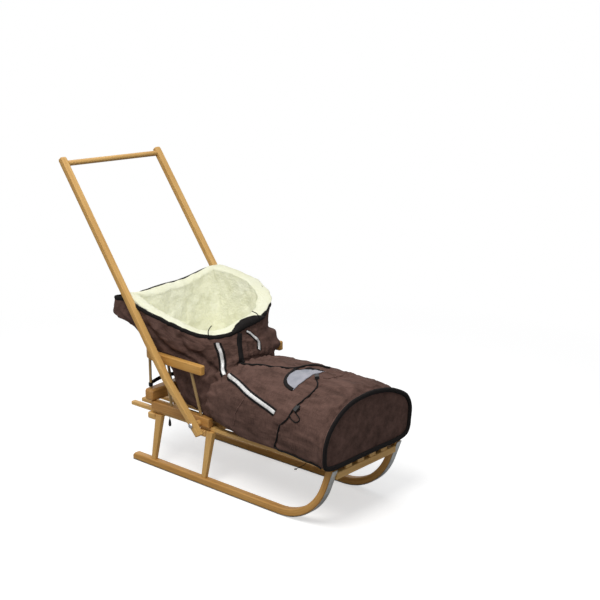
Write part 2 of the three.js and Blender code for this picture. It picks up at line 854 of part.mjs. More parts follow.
// A flat band along places on the footmuff, each with its own half width
function band(places, halfWidthAt, thickness, lift) {
  const low = places.map(([share, angle]) => muffAbove(share, angle, lift));
  const rings = low.map(({ point, normal }, i) => {
    const next = low[Math.min(i + 1, low.length - 1)].point;
    const last = low[Math.max(i - 1, 0)].point;
    const across = next.clone().sub(last).cross(normal).normalize();
    const half = halfWidthAt(i / (low.length - 1));
    const edge = (side) => dropOnShell(point.clone().addScaledVector(across, side * half), normal, lift);
    const under = [edge(-1), edge(0), edge(1)];
    const over = under.toReversed().map((place) => place.clone().addScaledVector(normal, thickness));
    return [...under, ...over];
  });
  return loft(rings);
}

// Routes on the footmuff: a share along its length and a share of half a turn round its section
const throughRoute = (shares, steps) => {
  const places = [];
  for (let i = 0; i <= steps; i += 1) {
    const along = i / steps;
    const share = smooth(shares.map(([length]) => length), along);
    const turn = smooth(shares.map(([, half]) => half), along);
    places.push([share, turn * Math.PI]);
  }
  return places;
};
const chestStripShares = [
  [0.9, 0.665],
  [0.76, 0.695],
  [0.655, 0.71],
  [0.46, 0.755],
];
const farStripShares = [
  [0.93, 0.5],
  [0.83, 0.475],
  [0.74, 0.45],
  [0.67, 0.44],
  [0.6, 0.44],
];
const sideStripShares = [
  [0.41, 0.75],
  [0.323, 0.765],
  [0.259, 0.845],
  [0.191, 0.91],
];
const placketShares = [
  [0.94, 0.56],
  [0.75, 0.575],
  [0.6, 0.59],
  [0.46, 0.6],
];
const elasticShares = [
  [0.1575, 0.581],
  [0.148, 0.61],
  [0.142, 0.68],
  [0.145, 0.76],
  [0.154, 0.83],
  [0.159, 0.92],
  [0.182, 1],
  [0.191, 1.06],
  [0.197, 1.14],
];

function addFootmuff() {
  const footClosing = panel.thickness + gap;
  const shell = muffSleeve(0, 1, 0, muff.shell, 0);
  shellMesh = add("footmuff_shell", shell, melange);
  shellMesh.updateMatrixWorld();
  const liner = muffSleeve(0, 1, muff.shell + gap, muff.shell + gap + muff.lining, muff.lining);
  add("fleece_lining", liner, fleece);

  const panelOutline = muffRing(0, 0, muff.facets).map((point) => new THREE.Vector2(point.y, point.z));
  const panelGeometry = prismX(new THREE.Shape(panelOutline), panel.thickness, 0);
  const panelX = muff.footX + gap + panel.thickness / 2;
  add("foot_panel", panelGeometry, melange).position.x = panelX;

  const ringPath = muffRing(0, piping.radius, piping.steps);
  const ringX = footClosing + gap + piping.radius;
  ringPath.forEach((point) => point.setX(point.x + ringX));
  const ring = new THREE.CatmullRomCurve3(ringPath, true);
  const ringTube = new THREE.TubeGeometry(ring, 2 * piping.steps, piping.radius, piping.facets, true);
  add("foot_piping", ringTube, blackTrim);

  const rimPath = muffRing(1, muff.shell / 2, binding.steps);
  const rise = new THREE.Vector3(muff.rimBackZ - muff.rimFrontZ, 0, muff.rimFrontX - muff.rimBackX);
  rise.setLength(binding.radius + gap);
  rimPath.forEach((point) => point.add(rise));
  const rim = new THREE.CatmullRomCurve3(rimPath, true);
  const rimTube = new THREE.TubeGeometry(rim, 2 * binding.steps, binding.radius, binding.facets, true);
  add("mouth_binding", rimTube, blackTrim);
}

function addFootmuffTrim() {
  const strips = [
    ["reflective_strip_chest", chestStripShares, 18],
    ["reflective_strip_far", farStripShares, 18],
    ["reflective_strip_side", sideStripShares, 36],
  ];
  for (const [name, shares, steps] of strips) {
    const route = throughRoute(shares, steps);
    add(name, band(route, () => reflector.width / 2, reflector.thickness, muff.trim), reflective);
  }
  const route = throughRoute(placketShares, 18);
  add("placket", band(route, () => placket.width / 2, placket.thickness, muff.trim), blackTrim);
}

// The place on the footmuff's cover above a point of the seat
function coverPlace(x, y) {
  let [near, far] = [0, 0.45];
  const angleAt = (share) => {
    const power = smooth(upperPowerShares, share);
    const across = Math.min(1, Math.abs(y) / smooth(halfWidths, share));
    const angle = Math.acos(across ** (power / 2));
    return y < 0 ? Math.PI - angle : angle;
  };
  for (let i = 0; i < 30; i += 1) {
    const middle = (near + far) / 2;
    if (muffPoint(middle, angleAt(middle)).x > x) {
      near = middle;
    } else {
      far = middle;
    }
  }
  return [near, angleAt(near)];
}

// A bare half-round patch on the cover
function addBadge() {
  const rows = [];
  for (let i = 0; i <= badge.steps; i += 1) {
    const turn = (Math.PI * (i / badge.steps) * 0.96) + Math.PI * 0.02;
    const y = badge.centreY - badge.radius * Math.cos(turn);
    const depth = badge.radius * Math.sin(turn);
    const under = [];
    for (let column = 0; column <= badge.columns; column += 1) {
      const x = badge.centreX - (depth * column) / badge.columns;
      under.push(muffAbove(...coverPlace(x, y), muff.trim));
    }
    const over = under.toReversed();
    rows.push([
      ...under.map(({ point }) => point),
      ...over.map(({ point, normal }) => point.clone().addScaledVector(normal, badge.thickness)),
    ]);
  }
  add("badge_patch", loft(rows), badgeCloth);
}

// A loop round each rear dowel with a tail that reaches the footmuff's back
function addStraps() {
  for (const [side, sign] of sides) {
    const [[x, y]] = dowelEnds(sign).corner;
    const inner = dowel.radius / Math.cos(Math.PI / dowel.facets) + gap;
    const outer = inner + strap.thickness;
    const profile = [
      [inner, 0],
      [outer, 0],
      [outer, strap.width],
      [inner, strap.width],
      [inner, 0],
    ].map((point) => new THREE.Vector2(...point));
    const loop = new THREE.LatheGeometry(profile, dowel.facets).rotateX(Math.PI / 2);
    loop.translate(0, 0, strap.width / 2);
    const tail = new THREE.BoxGeometry(strap.reach, strap.thickness, strap.width);
    tail.translate(inner + strap.reach / 2, 0, 0);
    tail.rotateZ(-sign * strap.turn);
    const mesh = add(`muff_strap_${side}`, fuse(loop, tail), blackTrim);
    mesh.position.set(x, y, bearerTopAt(y) + strap.height);
  }
}

// A sprung cord lock that lies on the footmuff, with its press button pointing along the cord
function addCordLock(name, [share, angle], towards) {
  const { point, normal } = muffAbove(share, angle, muff.trim + cordLock.thickness / 2);
  const ahead = muffAbove(...towards, muff.trim + cordLock.thickness / 2).point.sub(point);
  const across = new THREE.Vector3().crossVectors(normal, ahead).normalize();
  const along = new THREE.Vector3().crossVectors(across, normal).normalize();
  const place = new THREE.Matrix4().makeBasis(along, across, normal).setPosition(point);
  const section = roundedRect(cordLock.width, cordLock.thickness, cordLock.edge);
  const blank = prismX(section, cordLock.length, cordLock.edge / 2);
  const mouth = cordLock.length / 2;
  const bore = rod(
    new THREE.Vector3(mouth - cordLock.boreDepth, 0, 0),
    new THREE.Vector3(mouth + overrun, 0, 0),
    cordLock.bore,
    cordLock.facets,
  );
  const button = rod(
    new THREE.Vector3(mouth - cordLock.boreDepth + cordLock.travel + gap, 0, 0),
    new THREE.Vector3(mouth + cordLock.plungerOut, 0, 0),
    cordLock.plungerRadius,
    cordLock.facets,
  );
  const body = add(`${name}_body`, carve(blank, [bore]), blackPlastic);
  place.decompose(body.position, body.quaternion, body.scale);
  const plunger = add(`${name}_button`, button, blackPlastic);
  place.decompose(plunger.position, plunger.quaternion, plunger.scale);
  return along;
}

// The badge's lock, the side lock, and the elastic cord that runs between and past them
const upperLockShares = [0.163, 0.56];
const upperAimShares = [0.17, 0.538];
const lowerLockShares = [0.147, 0.83];
const lowerAimShares = [0.139, 0.76];
const turned = ([share, half]) => [share, half * Math.PI];
function addElasticCord() {
  addCordLock("cord_lock_upper", turned(upperLockShares), turned(upperAimShares));
  addCordLock("cord_lock_lower", turned(lowerLockShares), turned(lowerAimShares));
  const lift = elastic.radius + muff.trim;
  const route = throughRoute(elasticShares, elastic.steps);
  const points = route.map((place) => muffAbove(...place, lift).point);
  add("elastic_cord", tube(points, elastic.radius, elastic.facets, elastic.steps), blackTrim);
}

// A cord that starts at the footmuff's underside and then follows places chosen by hand
function hangingCord(name, startX, startY, places, radius, facets, steps) {
  const up = new THREE.Vector3(0, 0, 1);
  caster.set(new THREE.Vector3(startX, startY, slatUnderZ), up);
  const [hit] = caster.intersectObject(shellMesh);
  const points = [hit.point.addScaledVector(up, -gap - radius)];
  points.push(...places.map((place) => new THREE.Vector3(...place)));
  add(name, tube(points, radius, facets, steps), blackTrim);
}

// The drawcord's end stop hangs through the seat, and a tie end pokes out further forward
function addHangingCords() {
  const hangerPlaces = [
    [-278, -111, 198],
    [-296, -113, 184],
    [-301, -114, 172],
    [hanger.x, hanger.y, hanger.dropZ + gap],
  ];
  const tiePlaces = [
    [312, -114, 190],
    [306, -115, 170],
    [288, -117, 154],
    [266, -119, 140],
  ];
  hangingCord("toggle_cord", hanger.topX, hanger.y, hangerPlaces, hanger.radius, hanger.facets, hanger.steps);
  hangingCord("tie_cord", tie.topX, tie.topY, tiePlaces, tie.radius, tie.facets, tie.steps);
  const profile = [
    [0, 0],
    [toggle.radius * 0.7, 0],
    [toggle.radius, toggle.length * 0.2],
    [toggle.radius * 0.85, toggle.length * 0.6],
    [toggle.neck, toggle.length],
    [0, toggle.length],
  ].map((point) => new THREE.Vector2(...point));
  const stop = new THREE.LatheGeometry(profile, toggle.facets).rotateX(Math.PI / 2);
  add("cord_toggle", stop, blackPlastic).position.set(hanger.x, hanger.y, hanger.dropZ - toggle.length);
}

addRunners();
addLegs();
addCrosspieces();
addSlats();
addBackrestBoards();
addBearer();
addHoopAndDowels();
addHandle();
addPivotHardware();
addFootmuff();
addFootmuffTrim();
addBadge();
addStraps();
addElasticCord();
addHangingCords();

// The frame's origin is midway along the whole sledge, on the ground
const bounds = new THREE.Box3().setFromObject(sledge);
sledge.position.x = -(bounds.min.x + bounds.max.x) / 2;
const group = new THREE.Group();
group.add(sledge);
group.updateMatrixWorld(true);
export default group;
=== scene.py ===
"""A wooden sledge with a push handle, a bentwood backrest and a fleece-lined footmuff.

Timber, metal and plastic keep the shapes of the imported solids. Cloth, fleece and cords are shaped here."""
import math
import bpy
import numpy as np
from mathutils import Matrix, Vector, noise
from mathutils.bvhtree import BVHTree


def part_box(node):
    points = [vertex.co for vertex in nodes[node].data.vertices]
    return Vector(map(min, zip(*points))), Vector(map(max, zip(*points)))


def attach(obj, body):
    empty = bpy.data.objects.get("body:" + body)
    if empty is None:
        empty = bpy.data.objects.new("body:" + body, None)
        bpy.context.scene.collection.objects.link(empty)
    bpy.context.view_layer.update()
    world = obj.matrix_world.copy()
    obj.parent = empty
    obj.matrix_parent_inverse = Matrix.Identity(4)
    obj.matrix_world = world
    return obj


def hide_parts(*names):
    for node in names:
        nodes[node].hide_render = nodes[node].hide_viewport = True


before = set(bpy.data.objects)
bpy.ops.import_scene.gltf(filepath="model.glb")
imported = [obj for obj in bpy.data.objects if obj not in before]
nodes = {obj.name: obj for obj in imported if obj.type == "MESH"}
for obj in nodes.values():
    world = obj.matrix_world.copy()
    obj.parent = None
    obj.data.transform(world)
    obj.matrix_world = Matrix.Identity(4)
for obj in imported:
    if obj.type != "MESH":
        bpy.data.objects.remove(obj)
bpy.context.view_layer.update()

# The sledge is drawn in millimetres from its own origin, REAR_END metres ahead of the runners' rear ends.
REAR_END = 0.436
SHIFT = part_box("runner_left")[0].x + REAR_END


def metres(points):
    """The frame's places of the sledge's own millimetre points."""
    return np.asarray(points, float) / 1000 + (SHIFT, 0, 0)


def new_object(name, data):
    """An object in the scene that shows some data."""
    made = bpy.data.objects.new(name, data)
    bpy.context.scene.collection.objects.link(made)
    return made


# Camera
def add_camera():
    """The photograph's view of the sledge."""
    data = bpy.data.cameras.new("camera")
    camera = new_object("camera", data)
    data.sensor_width = 36
    data.lens = 66.27
    camera.location = (2.338 + SHIFT, -2.464, 1.455)
    camera.rotation_euler = (math.pi / 2 - math.radians(14.089), 0, math.radians(41.205))
    bpy.context.scene.camera = camera


add_camera()


# Materials
def linear(colour):
    """Linear RGBA of an 8-bit sRGB colour."""
    shares = [c / 255 for c in colour]
    return (*[s / 12.92 if s <= 0.04045 else ((s + 0.055) / 1.055) ** 2.4 for s in shares], 1)


class Finish:
    """A node material, with short calls for its nodes."""

    def __init__(self, name):
        self.material = bpy.data.materials.new(name)
        self.material.use_nodes = True
        self.tree = self.material.node_tree
        self.shader = self.tree.nodes["Principled BSDF"]
        self.coords = self.tree.nodes.new("ShaderNodeTexCoord")

    def put(self, node, sockets):
        for key, value in sockets.items():
            socket = node.inputs[key]
            if isinstance(value, bpy.types.NodeSocket):
                self.tree.links.new(value, socket)
            else:
                socket.default_value = value

    def add(self, kind, sockets=None, **settings):
        node = self.tree.nodes.new(kind)
        for key, value in settings.items():
            setattr(node, key, value)
        self.put(node, sockets or {})
        return node

    def math(self, operation, a, b=0.0, c=0.0):
        return self.add("ShaderNodeMath", {0: a, 1: b, 2: c}, operation=operation).outputs[0]

    def mix(self, share, a, b, blend="MIX"):
        node = self.add("ShaderNodeMix", {0: share, 6: a, 7: b}, data_type="RGBA", blend_type=blend)
        return node.outputs[2]

    def span(self, value, low, high, to_low=0.0, to_high=1.0):
        node = self.add("ShaderNodeMapRange", {0: value, 1: low, 2: high, 3: to_low, 4: to_high})
        return node.outputs[0]

    def scaled(self, vector, scale, turn=(0, 0, 0), move=(0, 0, 0)):
        turned = self.add("ShaderNodeMapping", {"Vector": vector, "Location": move, "Rotation": turn})
        return self.add("ShaderNodeMapping", {"Vector": turned.outputs[0], "Scale": scale}).outputs[0]

    def noise(self, vector, scale=1.0, detail=2.0, roughness=0.5, distortion=0.0):
        sockets = {
            "Vector": vector,
            "Scale": scale,
            "Detail": detail,
            "Roughness": roughness,
            "Distortion": distortion,
        }
        return self.add("ShaderNodeTexNoise", sockets).outputs[0]

    def bump(self, height, distance, strength=1.0, normal=None):
        sockets = {"Height": height, "Distance": distance, "Strength": strength}
        if normal is not None:
            sockets["Normal"] = normal
        return self.add("ShaderNodeBump", sockets).outputs[0]

    def shade(self, **sockets):
        self.put(self.shader, {key.replace("_", " "): value for key, value in sockets.items()})
        return self.material


def wood(name, pale, deep, turn=(0, 0, 0), bend=None, seed=0.0):
    """Varnished wood whose grain runs along X, or along turn's X.

    bend is a kind, two coordinates of a centre and a radius: x and z for a curl, x and y for a hoop."""
    f = Finish(name)
    place = f.coords.outputs["Object"]
    if bend:
        kind, centre_a, centre_b, radius = bend
        parts = f.add("ShaderNodeSeparateXYZ", {0: place}).outputs
        if kind == "curl":
            ahead = f.math("SUBTRACT", parts[0], centre_a)
            down = f.math("SUBTRACT", centre_b, parts[2])
            side = parts[1]
        else:
            ahead = f.math("SUBTRACT", centre_a, parts[0])
            down = f.math("SUBTRACT", f.math("ABSOLUTE", parts[1]), centre_b)
            side = parts[2]
        bent = f.math("MAXIMUM", ahead, 0.0)
        turned = f.math("ARCTAN2", bent, f.math("MAXIMUM", down, 0.001))
        squares = f.math("ADD", f.math("POWER", bent, 2.0), f.math("POWER", down, 2.0))
        along = f.math("ADD", f.math("MULTIPLY", turned, radius), f.math("MINIMUM", ahead, 0.0))
        out = f.math("SQRT", squares)
        place = f.add("ShaderNodeCombineXYZ", {0: along, 1: side, 2: out}).outputs[0]
    place = f.scaled(place, (1, 1, 1), turn, (seed, seed * 0.37, seed * 0.61))
    drift = f.noise(f.scaled(place, (5, 30, 30)), detail=3)
    rings = f.noise(f.scaled(place, (4, 150, 150)), detail=4, roughness=0.6, distortion=0.35)
    pores = f.noise(f.scaled(place, (45, 900, 900)), detail=2)
    flecks = f.span(pores, 0.62, 0.72)
    tone = f.math("ADD", f.math("MULTIPLY", rings, 0.65), f.math("MULTIPLY", drift, 0.5))
    body = f.mix(f.span(tone, 0.42, 0.74), linear(pale), linear(deep))
    dark = tuple(int(c * 0.62) for c in deep)
    body = f.mix(f.math("MULTIPLY", flecks, 0.35), body, linear(dark))
    # Convex edges are made paler: a painted highlight where the edges catch the light.
    edge_highlight = f.span(f.add("ShaderNodeNewGeometry").outputs["Pointiness"], 0.52, 0.6)
    highlight_pale = tuple(min(255, int(c * 1.12)) for c in pale)
    body = f.mix(f.math("MULTIPLY", edge_highlight, 0.3), body, linear(highlight_pale))
    height = f.math("ADD", f.math("MULTIPLY", rings, 0.5), f.math("MULTIPLY", flecks, -0.5))
    return f.shade(
        Base_Color=body,
        Roughness=f.span(drift, 0.3, 0.7, 0.36, 0.52),
        Normal=f.bump(height, 0.00012, 0.5),
        Specular_IOR_Level=0.35,
        Coat_Weight=0.08,
        Coat_Roughness=0.3,
    )


def melange(name, pale, deep):
    """A matt woven cloth of two mixed yarns."""
    f = Finish(name)
    place = f.coords.outputs["UV"]
    warp = f.noise(f.scaled(place, (700, 60, 60)), detail=3, roughness=0.6)
    weft = f.noise(f.scaled(place, (60, 700, 60), move=(3, 5, 1)), detail=3, roughness=0.6)
    cloud = f.noise(f.scaled(place, (34, 30, 30)), detail=5, roughness=0.62)
    wide = f.noise(f.scaled(place, (9, 9, 9)), detail=2)
    yarns = f.math("ADD", f.math("MULTIPLY", warp, 0.5), f.math("MULTIPLY", weft, 0.5))
    tone = f.math("ADD", f.math("MULTIPLY", yarns, 0.5), f.math("MULTIPLY", cloud, 0.5))
    tone = f.math("ADD", tone, f.math("MULTIPLY", f.math("SUBTRACT", wide, 0.5), 0.25))
    cloth = f.mix(f.span(tone, 0.36, 0.64), linear(deep), linear(pale))
    weave = f.bump(yarns, 0.0006, 0.6)
    return f.shade(
        Base_Color=cloth,
        Roughness=0.92,
        Normal=f.bump(cloud, 0.0025, 0.35, weave),
        Specular_IOR_Level=0.15,
    )


def pile(name, pale, deep):
    """Curly fleece, with a small glow for the light that scatters in it."""
    f = Finish(name)
    place = f.coords.outputs["Object"]
    tufts = f.noise(f.scaled(place, (170, 170, 170)), detail=4, roughness=0.65, distortion=0.6)
    cells = f.add("ShaderNodeTexVoronoi", {"Vector": place, "Scale": 130.0}, feature="SMOOTH_F1")
    curls = cells.outputs["Distance"]
    wide = f.noise(f.scaled(place, (14, 14, 14)), detail=3)
    tone = f.math("ADD", f.math("MULTIPLY", tufts, 0.55), f.math("MULTIPLY", wide, 0.45))
    body = f.mix(f.span(tone, 0.35, 0.65), linear(deep), linear(pale))
    height = f.math("SUBTRACT", tufts, f.math("MULTIPLY", curls, 0.8))
    return f.shade(
        Base_Color=body,
        Roughness=1.0,
        Normal=f.bump(height, 0.004, 0.55),
        Specular_IOR_Level=0.1,
        Emission_Color=body,
        Emission_Strength=0.16,
    )


# How many bands a wave texture of scale 1 lays over about two metres
BANDS = 6.3


def trim(name, colour, ribs=900.0, coords="UV"):
    """Woven tape or cord with fine ribs across it, so many over about two metres."""
    f = Finish(name)
    place = f.coords.outputs[coords]
    wave = {"Vector": place, "Scale": ribs / BANDS, "Distortion": 0.6}
    ribbed = f.add("ShaderNodeTexWave", wave).outputs["Fac"]
    lint = f.noise(f.scaled(place, (300, 300, 300)), detail=3)
    pale = tuple(min(255, c + 14) for c in colour)
    body = f.mix(f.span(f.math("MULTIPLY", ribbed, lint), 0.1, 0.6), linear(colour), linear(pale))
    return f.shade(
        Base_Color=body,
        Roughness=0.85,
        Normal=f.bump(ribbed, 0.0004, 0.6),
        Specular_IOR_Level=0.15,
    )


def steel(name, colour, rough):
    """Bare or plated steel with fine drawn lines along X."""
    f = Finish(name)
    place = f.coords.outputs["Object"]
    lines = f.noise(f.scaled(place, (6, 500, 500)), detail=3)
    wear = f.noise(f.scaled(place, (25, 60, 60)), detail=4)
    pale = tuple(min(255, c + 18) for c in colour)
    return f.shade(
        Base_Color=f.mix(f.span(wear, 0.35, 0.65), linear(colour), linear(pale)),
        Metallic=1.0,
        Roughness=f.span(lines, 0.3, 0.7, rough - 0.05, rough + 0.12),
        Normal=f.bump(lines, 0.00005, 0.4),
    )


def plastic(name, colour):
    """Moulded plastic with a fine grain."""
    f = Finish(name)
    place = f.coords.outputs["Object"]
    grain = f.noise(place, 900.0, detail=2)
    wide = f.noise(place, 60.0)
    pale = tuple(min(255, c + 16) for c in colour)
    return f.shade(
        Base_Color=f.mix(wide, linear(colour), linear(pale)),
        Roughness=f.span(grain, 0.3, 0.7, 0.4, 0.55),
        Normal=f.bump(grain, 0.0001, 0.3),
    )


def tape(name):
    """Reflective tape: pale beads in short printed segments."""
    f = Finish(name)
    place = f.coords.outputs["UV"]
    along = f.add("ShaderNodeSeparateXYZ", {0: place}).outputs[0]
    segments, gap = 55.0, 0.07
    step = f.math("FRACT", f.math("MULTIPLY", along, segments))
    line = f.math("LESS_THAN", step, gap)
    beads = f.noise(f.scaled(place, (2600, 2600, 1)), detail=1)
    wear = f.noise(f.scaled(place, (60, 60, 1)), detail=4)
    body = f.mix(f.span(wear, 0.35, 0.7), linear((226, 226, 224)), linear((200, 199, 200)))
    body = f.mix(f.math("MULTIPLY", line, 0.55), body, linear((140, 140, 144)))
    return f.shade(
        Base_Color=body,
        Roughness=f.span(beads, 0.3, 0.7, 0.32, 0.5),
        Metallic=0.15,
        Normal=f.bump(beads, 0.0001, 0.5),
    )


def badge_cloth(name):
    """A satin twill with slanting ribs."""
    f = Finish(name)
    place = f.coords.outputs["UV"]
    slant = f.scaled(place, (1, 1, 1), (0, 0, 0.8))
    twill = f.add("ShaderNodeTexWave", {"Vector": slant, "Scale": 160.0}).outputs["Fac"]
    wide = f.noise(f.scaled(place, (22, 22, 22)), detail=2)
    body = f.mix(f.span(wide, 0.35, 0.65), linear((132, 134, 144)), linear((160, 159, 168)))
    body = f.mix(f.math("MULTIPLY", twill, 0.18), body, linear((112, 122, 138)))
    return f.shade(Base_Color=body, Roughness=0.6, Normal=f.bump(twill, 0.0003, 0.5), Sheen_Weight=0.2)


BROWN = melange("brown_melange", (110, 84, 76), (62, 45, 39))
# A lighter copy of the brown cloth for the seam ridges: a painted highlight.
LIT_SEAM = melange("lit_seam_melange", (128, 101, 92), (84, 62, 55))
FLEECE = pile("cream_pile", (218, 219, 200), (211, 211, 183))
BLACK = trim("black_webbing", (17, 14, 14))
CORD = trim("black_braid", (15, 14, 14), 700.0, "Object")
TAPE = tape("reflective_tape")
BADGE = badge_cloth("badge_twill")
PLASTIC = plastic("black_plastic", (18, 18, 19))
SOLE = steel("rolled_steel", (196, 200, 200), 0.3)
ZINC = steel("zinc_plate", (176, 178, 182), 0.34)


# Meshes
def mesh_piece(name, points, faces, material, uvs):
    """A smooth mesh of millimetre points on the sledge.

    uvs holds a pair in metres per face corner. The last faces, on the ends of a skin, may go without."""
    mesh = bpy.data.meshes.new(name)
    mesh.from_pydata(metres(points).tolist(), [], [list(face) for face in faces])
    mesh.validate()
    layer = mesh.uv_layers.new(name="cloth")
    rest = [(0, 0)] * (len(mesh.loops) - len(uvs))
    layer.data.foreach_set("uv", np.array(uvs + rest, np.float32).ravel())
    mesh.polygons.foreach_set("use_smooth", [True] * len(mesh.polygons))
    mesh.materials.append(material)
    piece = new_object(name, mesh)
    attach(piece, "sledge")
    return piece


def lengths(line):
    """How far along a line each of its points lies."""
    return np.concatenate([[0], np.cumsum(np.linalg.norm(np.diff(line, axis=0), axis=1))])


def unit(vectors):
    """Vectors of the same directions, one unit long."""
    return vectors / np.linalg.norm(vectors, axis=-1)[..., None]


def evened(points, times):
    """Points or rings drawn towards the middle of their neighbours, so many times."""
    for _ in range(times):
        points[1:-1] = 0.5 * points[1:-1] + 0.25 * (points[:-2] + points[2:])
    return points


def tube(name, path, radii, sides, material, closed=False, flat=None):
    """A tube along millimetre points. flat is the direction of the second radius, one or one per point."""
    path = np.asarray(path, float)
    count = len(path)
    if closed:
        tangent = np.roll(path, -1, 0) - np.roll(path, 1, 0)
    else:
        tangent = np.gradient(path, axis=0)
    tangent = unit(tangent)
    if flat is None:
        side = np.zeros_like(path)
        last = np.cross(tangent[0], (0.31, 0.52, 0.8))
        for i in range(count):
            last = last - tangent[i] * last.dot(tangent[i])
            last /= np.linalg.norm(last)
            side[i] = last
    else:
        side = unit(flat - tangent * (flat * tangent).sum(1)[:, None])
    other = np.cross(tangent, side)
    turn = np.linspace(0, 2 * math.pi, sides, endpoint=False)
    wide, high = radii
    cosine, sine = np.cos(turn)[None, :, None], np.sin(turn)[None, :, None]
    ring = cosine * other[:, None] * wide + sine * side[:, None] * high
    points = (path[:, None] + ring).reshape(-1, 3)
    faces, uvs = [], []
    length, girth, seam = lengths(path) / 1000, 0.02, 0.005
    for i in range(count if closed else count - 1):
        j = (i + 1) % count
        for k in range(sides):
            m = (k + 1) % sides
            faces.append((i * sides + k, i * sides + m, j * sides + m, j * sides + k))
            u0 = length[i]
            u1 = length[j] if j else length[i] + seam
            v0, v1 = k / sides * girth, (k + 1) / sides * girth
            uvs += [(u0, v0), (u0, v1), (u1, v1), (u1, v0)]
    if not closed:
        for i, order in ((0, -1), (count - 1, 1)):
            faces.append(list(range(i * sides, (i + 1) * sides))[::order])
    return mesh_piece(name, points, faces, material, uvs)


# Hanging cords
def spline(points, steps):
    """Points on a smooth curve through the given ones."""
    points = np.asarray(points, float)
    gaps = np.sqrt(np.linalg.norm(np.diff(points, axis=0), axis=1))
    knots = np.concatenate([[0], np.cumsum(gaps)])
    knots = np.concatenate([[-gaps[0]], knots, [knots[-1] + gaps[-1]]])
    points = np.vstack([2 * points[0] - points[1], points, 2 * points[-1] - points[-2]])
    made = []
    for along in np.linspace(knots[1], knots[-2], steps + 1):
        i = min(max(int(np.searchsorted(knots, along, "right")) - 1, 1), len(points) - 3)
        p, t = points[i - 1 : i + 3], knots[i - 1 : i + 3]
        for level in range(1, 4):
            p = [
                ((t[k + level] - along) * p[k] + (along - t[k]) * p[k + 1]) / (t[k + level] - t[k])
                for k in range(4 - level)
            ]
        made.append(p[0])
    return np.array(made)


def hanging_cord(name, node, start, places, radius):
    """A limp cord that stands for a node: from just below the node's top, through the given places."""
    sunk = 0.4
    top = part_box(node)[1].z * 1000 - sunk
    path = metres(spline([(*start, top), *places], 24))
    data = bpy.data.curves.new(name, "CURVE")
    data.dimensions = "3D"
    data.bevel_depth = radius / 1000
    data.bevel_resolution = 3
    data.use_fill_caps = True
    run = data.splines.new("POLY")
    run.points.add(len(path) - 1)
    for point, place in zip(run.points, path):
        point.co = (*place, 1)
    data.materials.append(CORD)
    piece = new_object(name, data)
    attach(piece, "sledge")
    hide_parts(node)


def overhand(x, y, z):
    """A closed line in the shape of a small overhand knot about a point."""
    size, twist, depth = 1.9, 0.9, 1.6
    turn = np.linspace(0, 2 * math.pi, 40, endpoint=False)
    xs = x + size * np.sin(turn) + 2 * twist * np.sin(2 * turn)
    ys = y + size * np.cos(turn) - 2 * twist * np.cos(2 * turn)
    return np.stack([xs, ys, z - depth * np.sin(3 * turn)], 1)


def add_cords():
    """The two cord ends that hang below the seat."""
    hanging_cord(
        "drawcord_end",
        "toggle_cord",
        (-250, -114),
        [(-278, -111, 198), (-296, -113, 184), (-301, -114, 172), (-302, -114, 161.3)],
        1.2,
    )
    places = [(312, -114, 190), (306, -115, 170), (288, -117, 154), (266, -119, 140)]
    knot = tube("tie_knot", overhand(*places[-1]), (0.95, 0.95), 8, CORD, closed=True)
    hanging_cord("tie_end", "tie_cord", (314, -113), places, 0.85)


add_cords()


# Timber and metal on the CAD nodes
def dress(names, material, bevel=0.0008):
    """Give nodes a material, smooth shading and softened edges, bevel metres wide, or 0 for none."""
    for name in names:
        node = nodes[name]
        for slot in node.material_slots:
            slot.material = material
        node.data.polygons.foreach_set("use_smooth", [True] * len(node.data.polygons))
        weld = node.modifiers.new("weld", "WELD")
        weld.merge_threshold = 0.00002
        if bevel:
            edge = node.modifiers.new("edge", "BEVEL")
            edge.width = bevel
            edge.segments = 2
            edge.limit_method = "ANGLE"
            edge.angle_limit = math.radians(28)
            edge.use_clamp_overlap = True
        node.modifiers.new("normals", "WEIGHTED_NORMAL").keep_sharp = False


# The pale and the deep tone of each wood
RUNNER = ((206, 158, 88), (176, 126, 60))
FRAME = ((214, 172, 104), (186, 140, 76))
HOOP_WOOD = ((204, 156, 84), (172, 122, 56))
PALE = ((216, 174, 106), (188, 144, 80))
# A darker copy of the frame's wood for the backrest board and the back bearer: painted shade for parts that
# sit in shadow.
SHADED_WOOD = ((188, 140, 78), (154, 106, 50))
ROD = ((178, 150, 104), (146, 118, 76))
# The bends that the grain follows, in metres
CURL = ("curl", SHIFT + 0.2385, 0.205, 0.195)
HOOP_BACK, HOOP_HALF, HOOP_RADIUS = -0.292, 0.096, 0.08
HOOP = ("hoop", SHIFT + HOOP_BACK, HOOP_HALF, HOOP_RADIUS)
# The turns of a grain that doesn't run along X
UP = (0, math.pi / 2, 0)
ACROSS = (0, 0, math.pi / 2)
BAR_LEAN = math.radians(35.9)
LEANING = (0, math.pi / 2 + BAR_LEAN, 0)


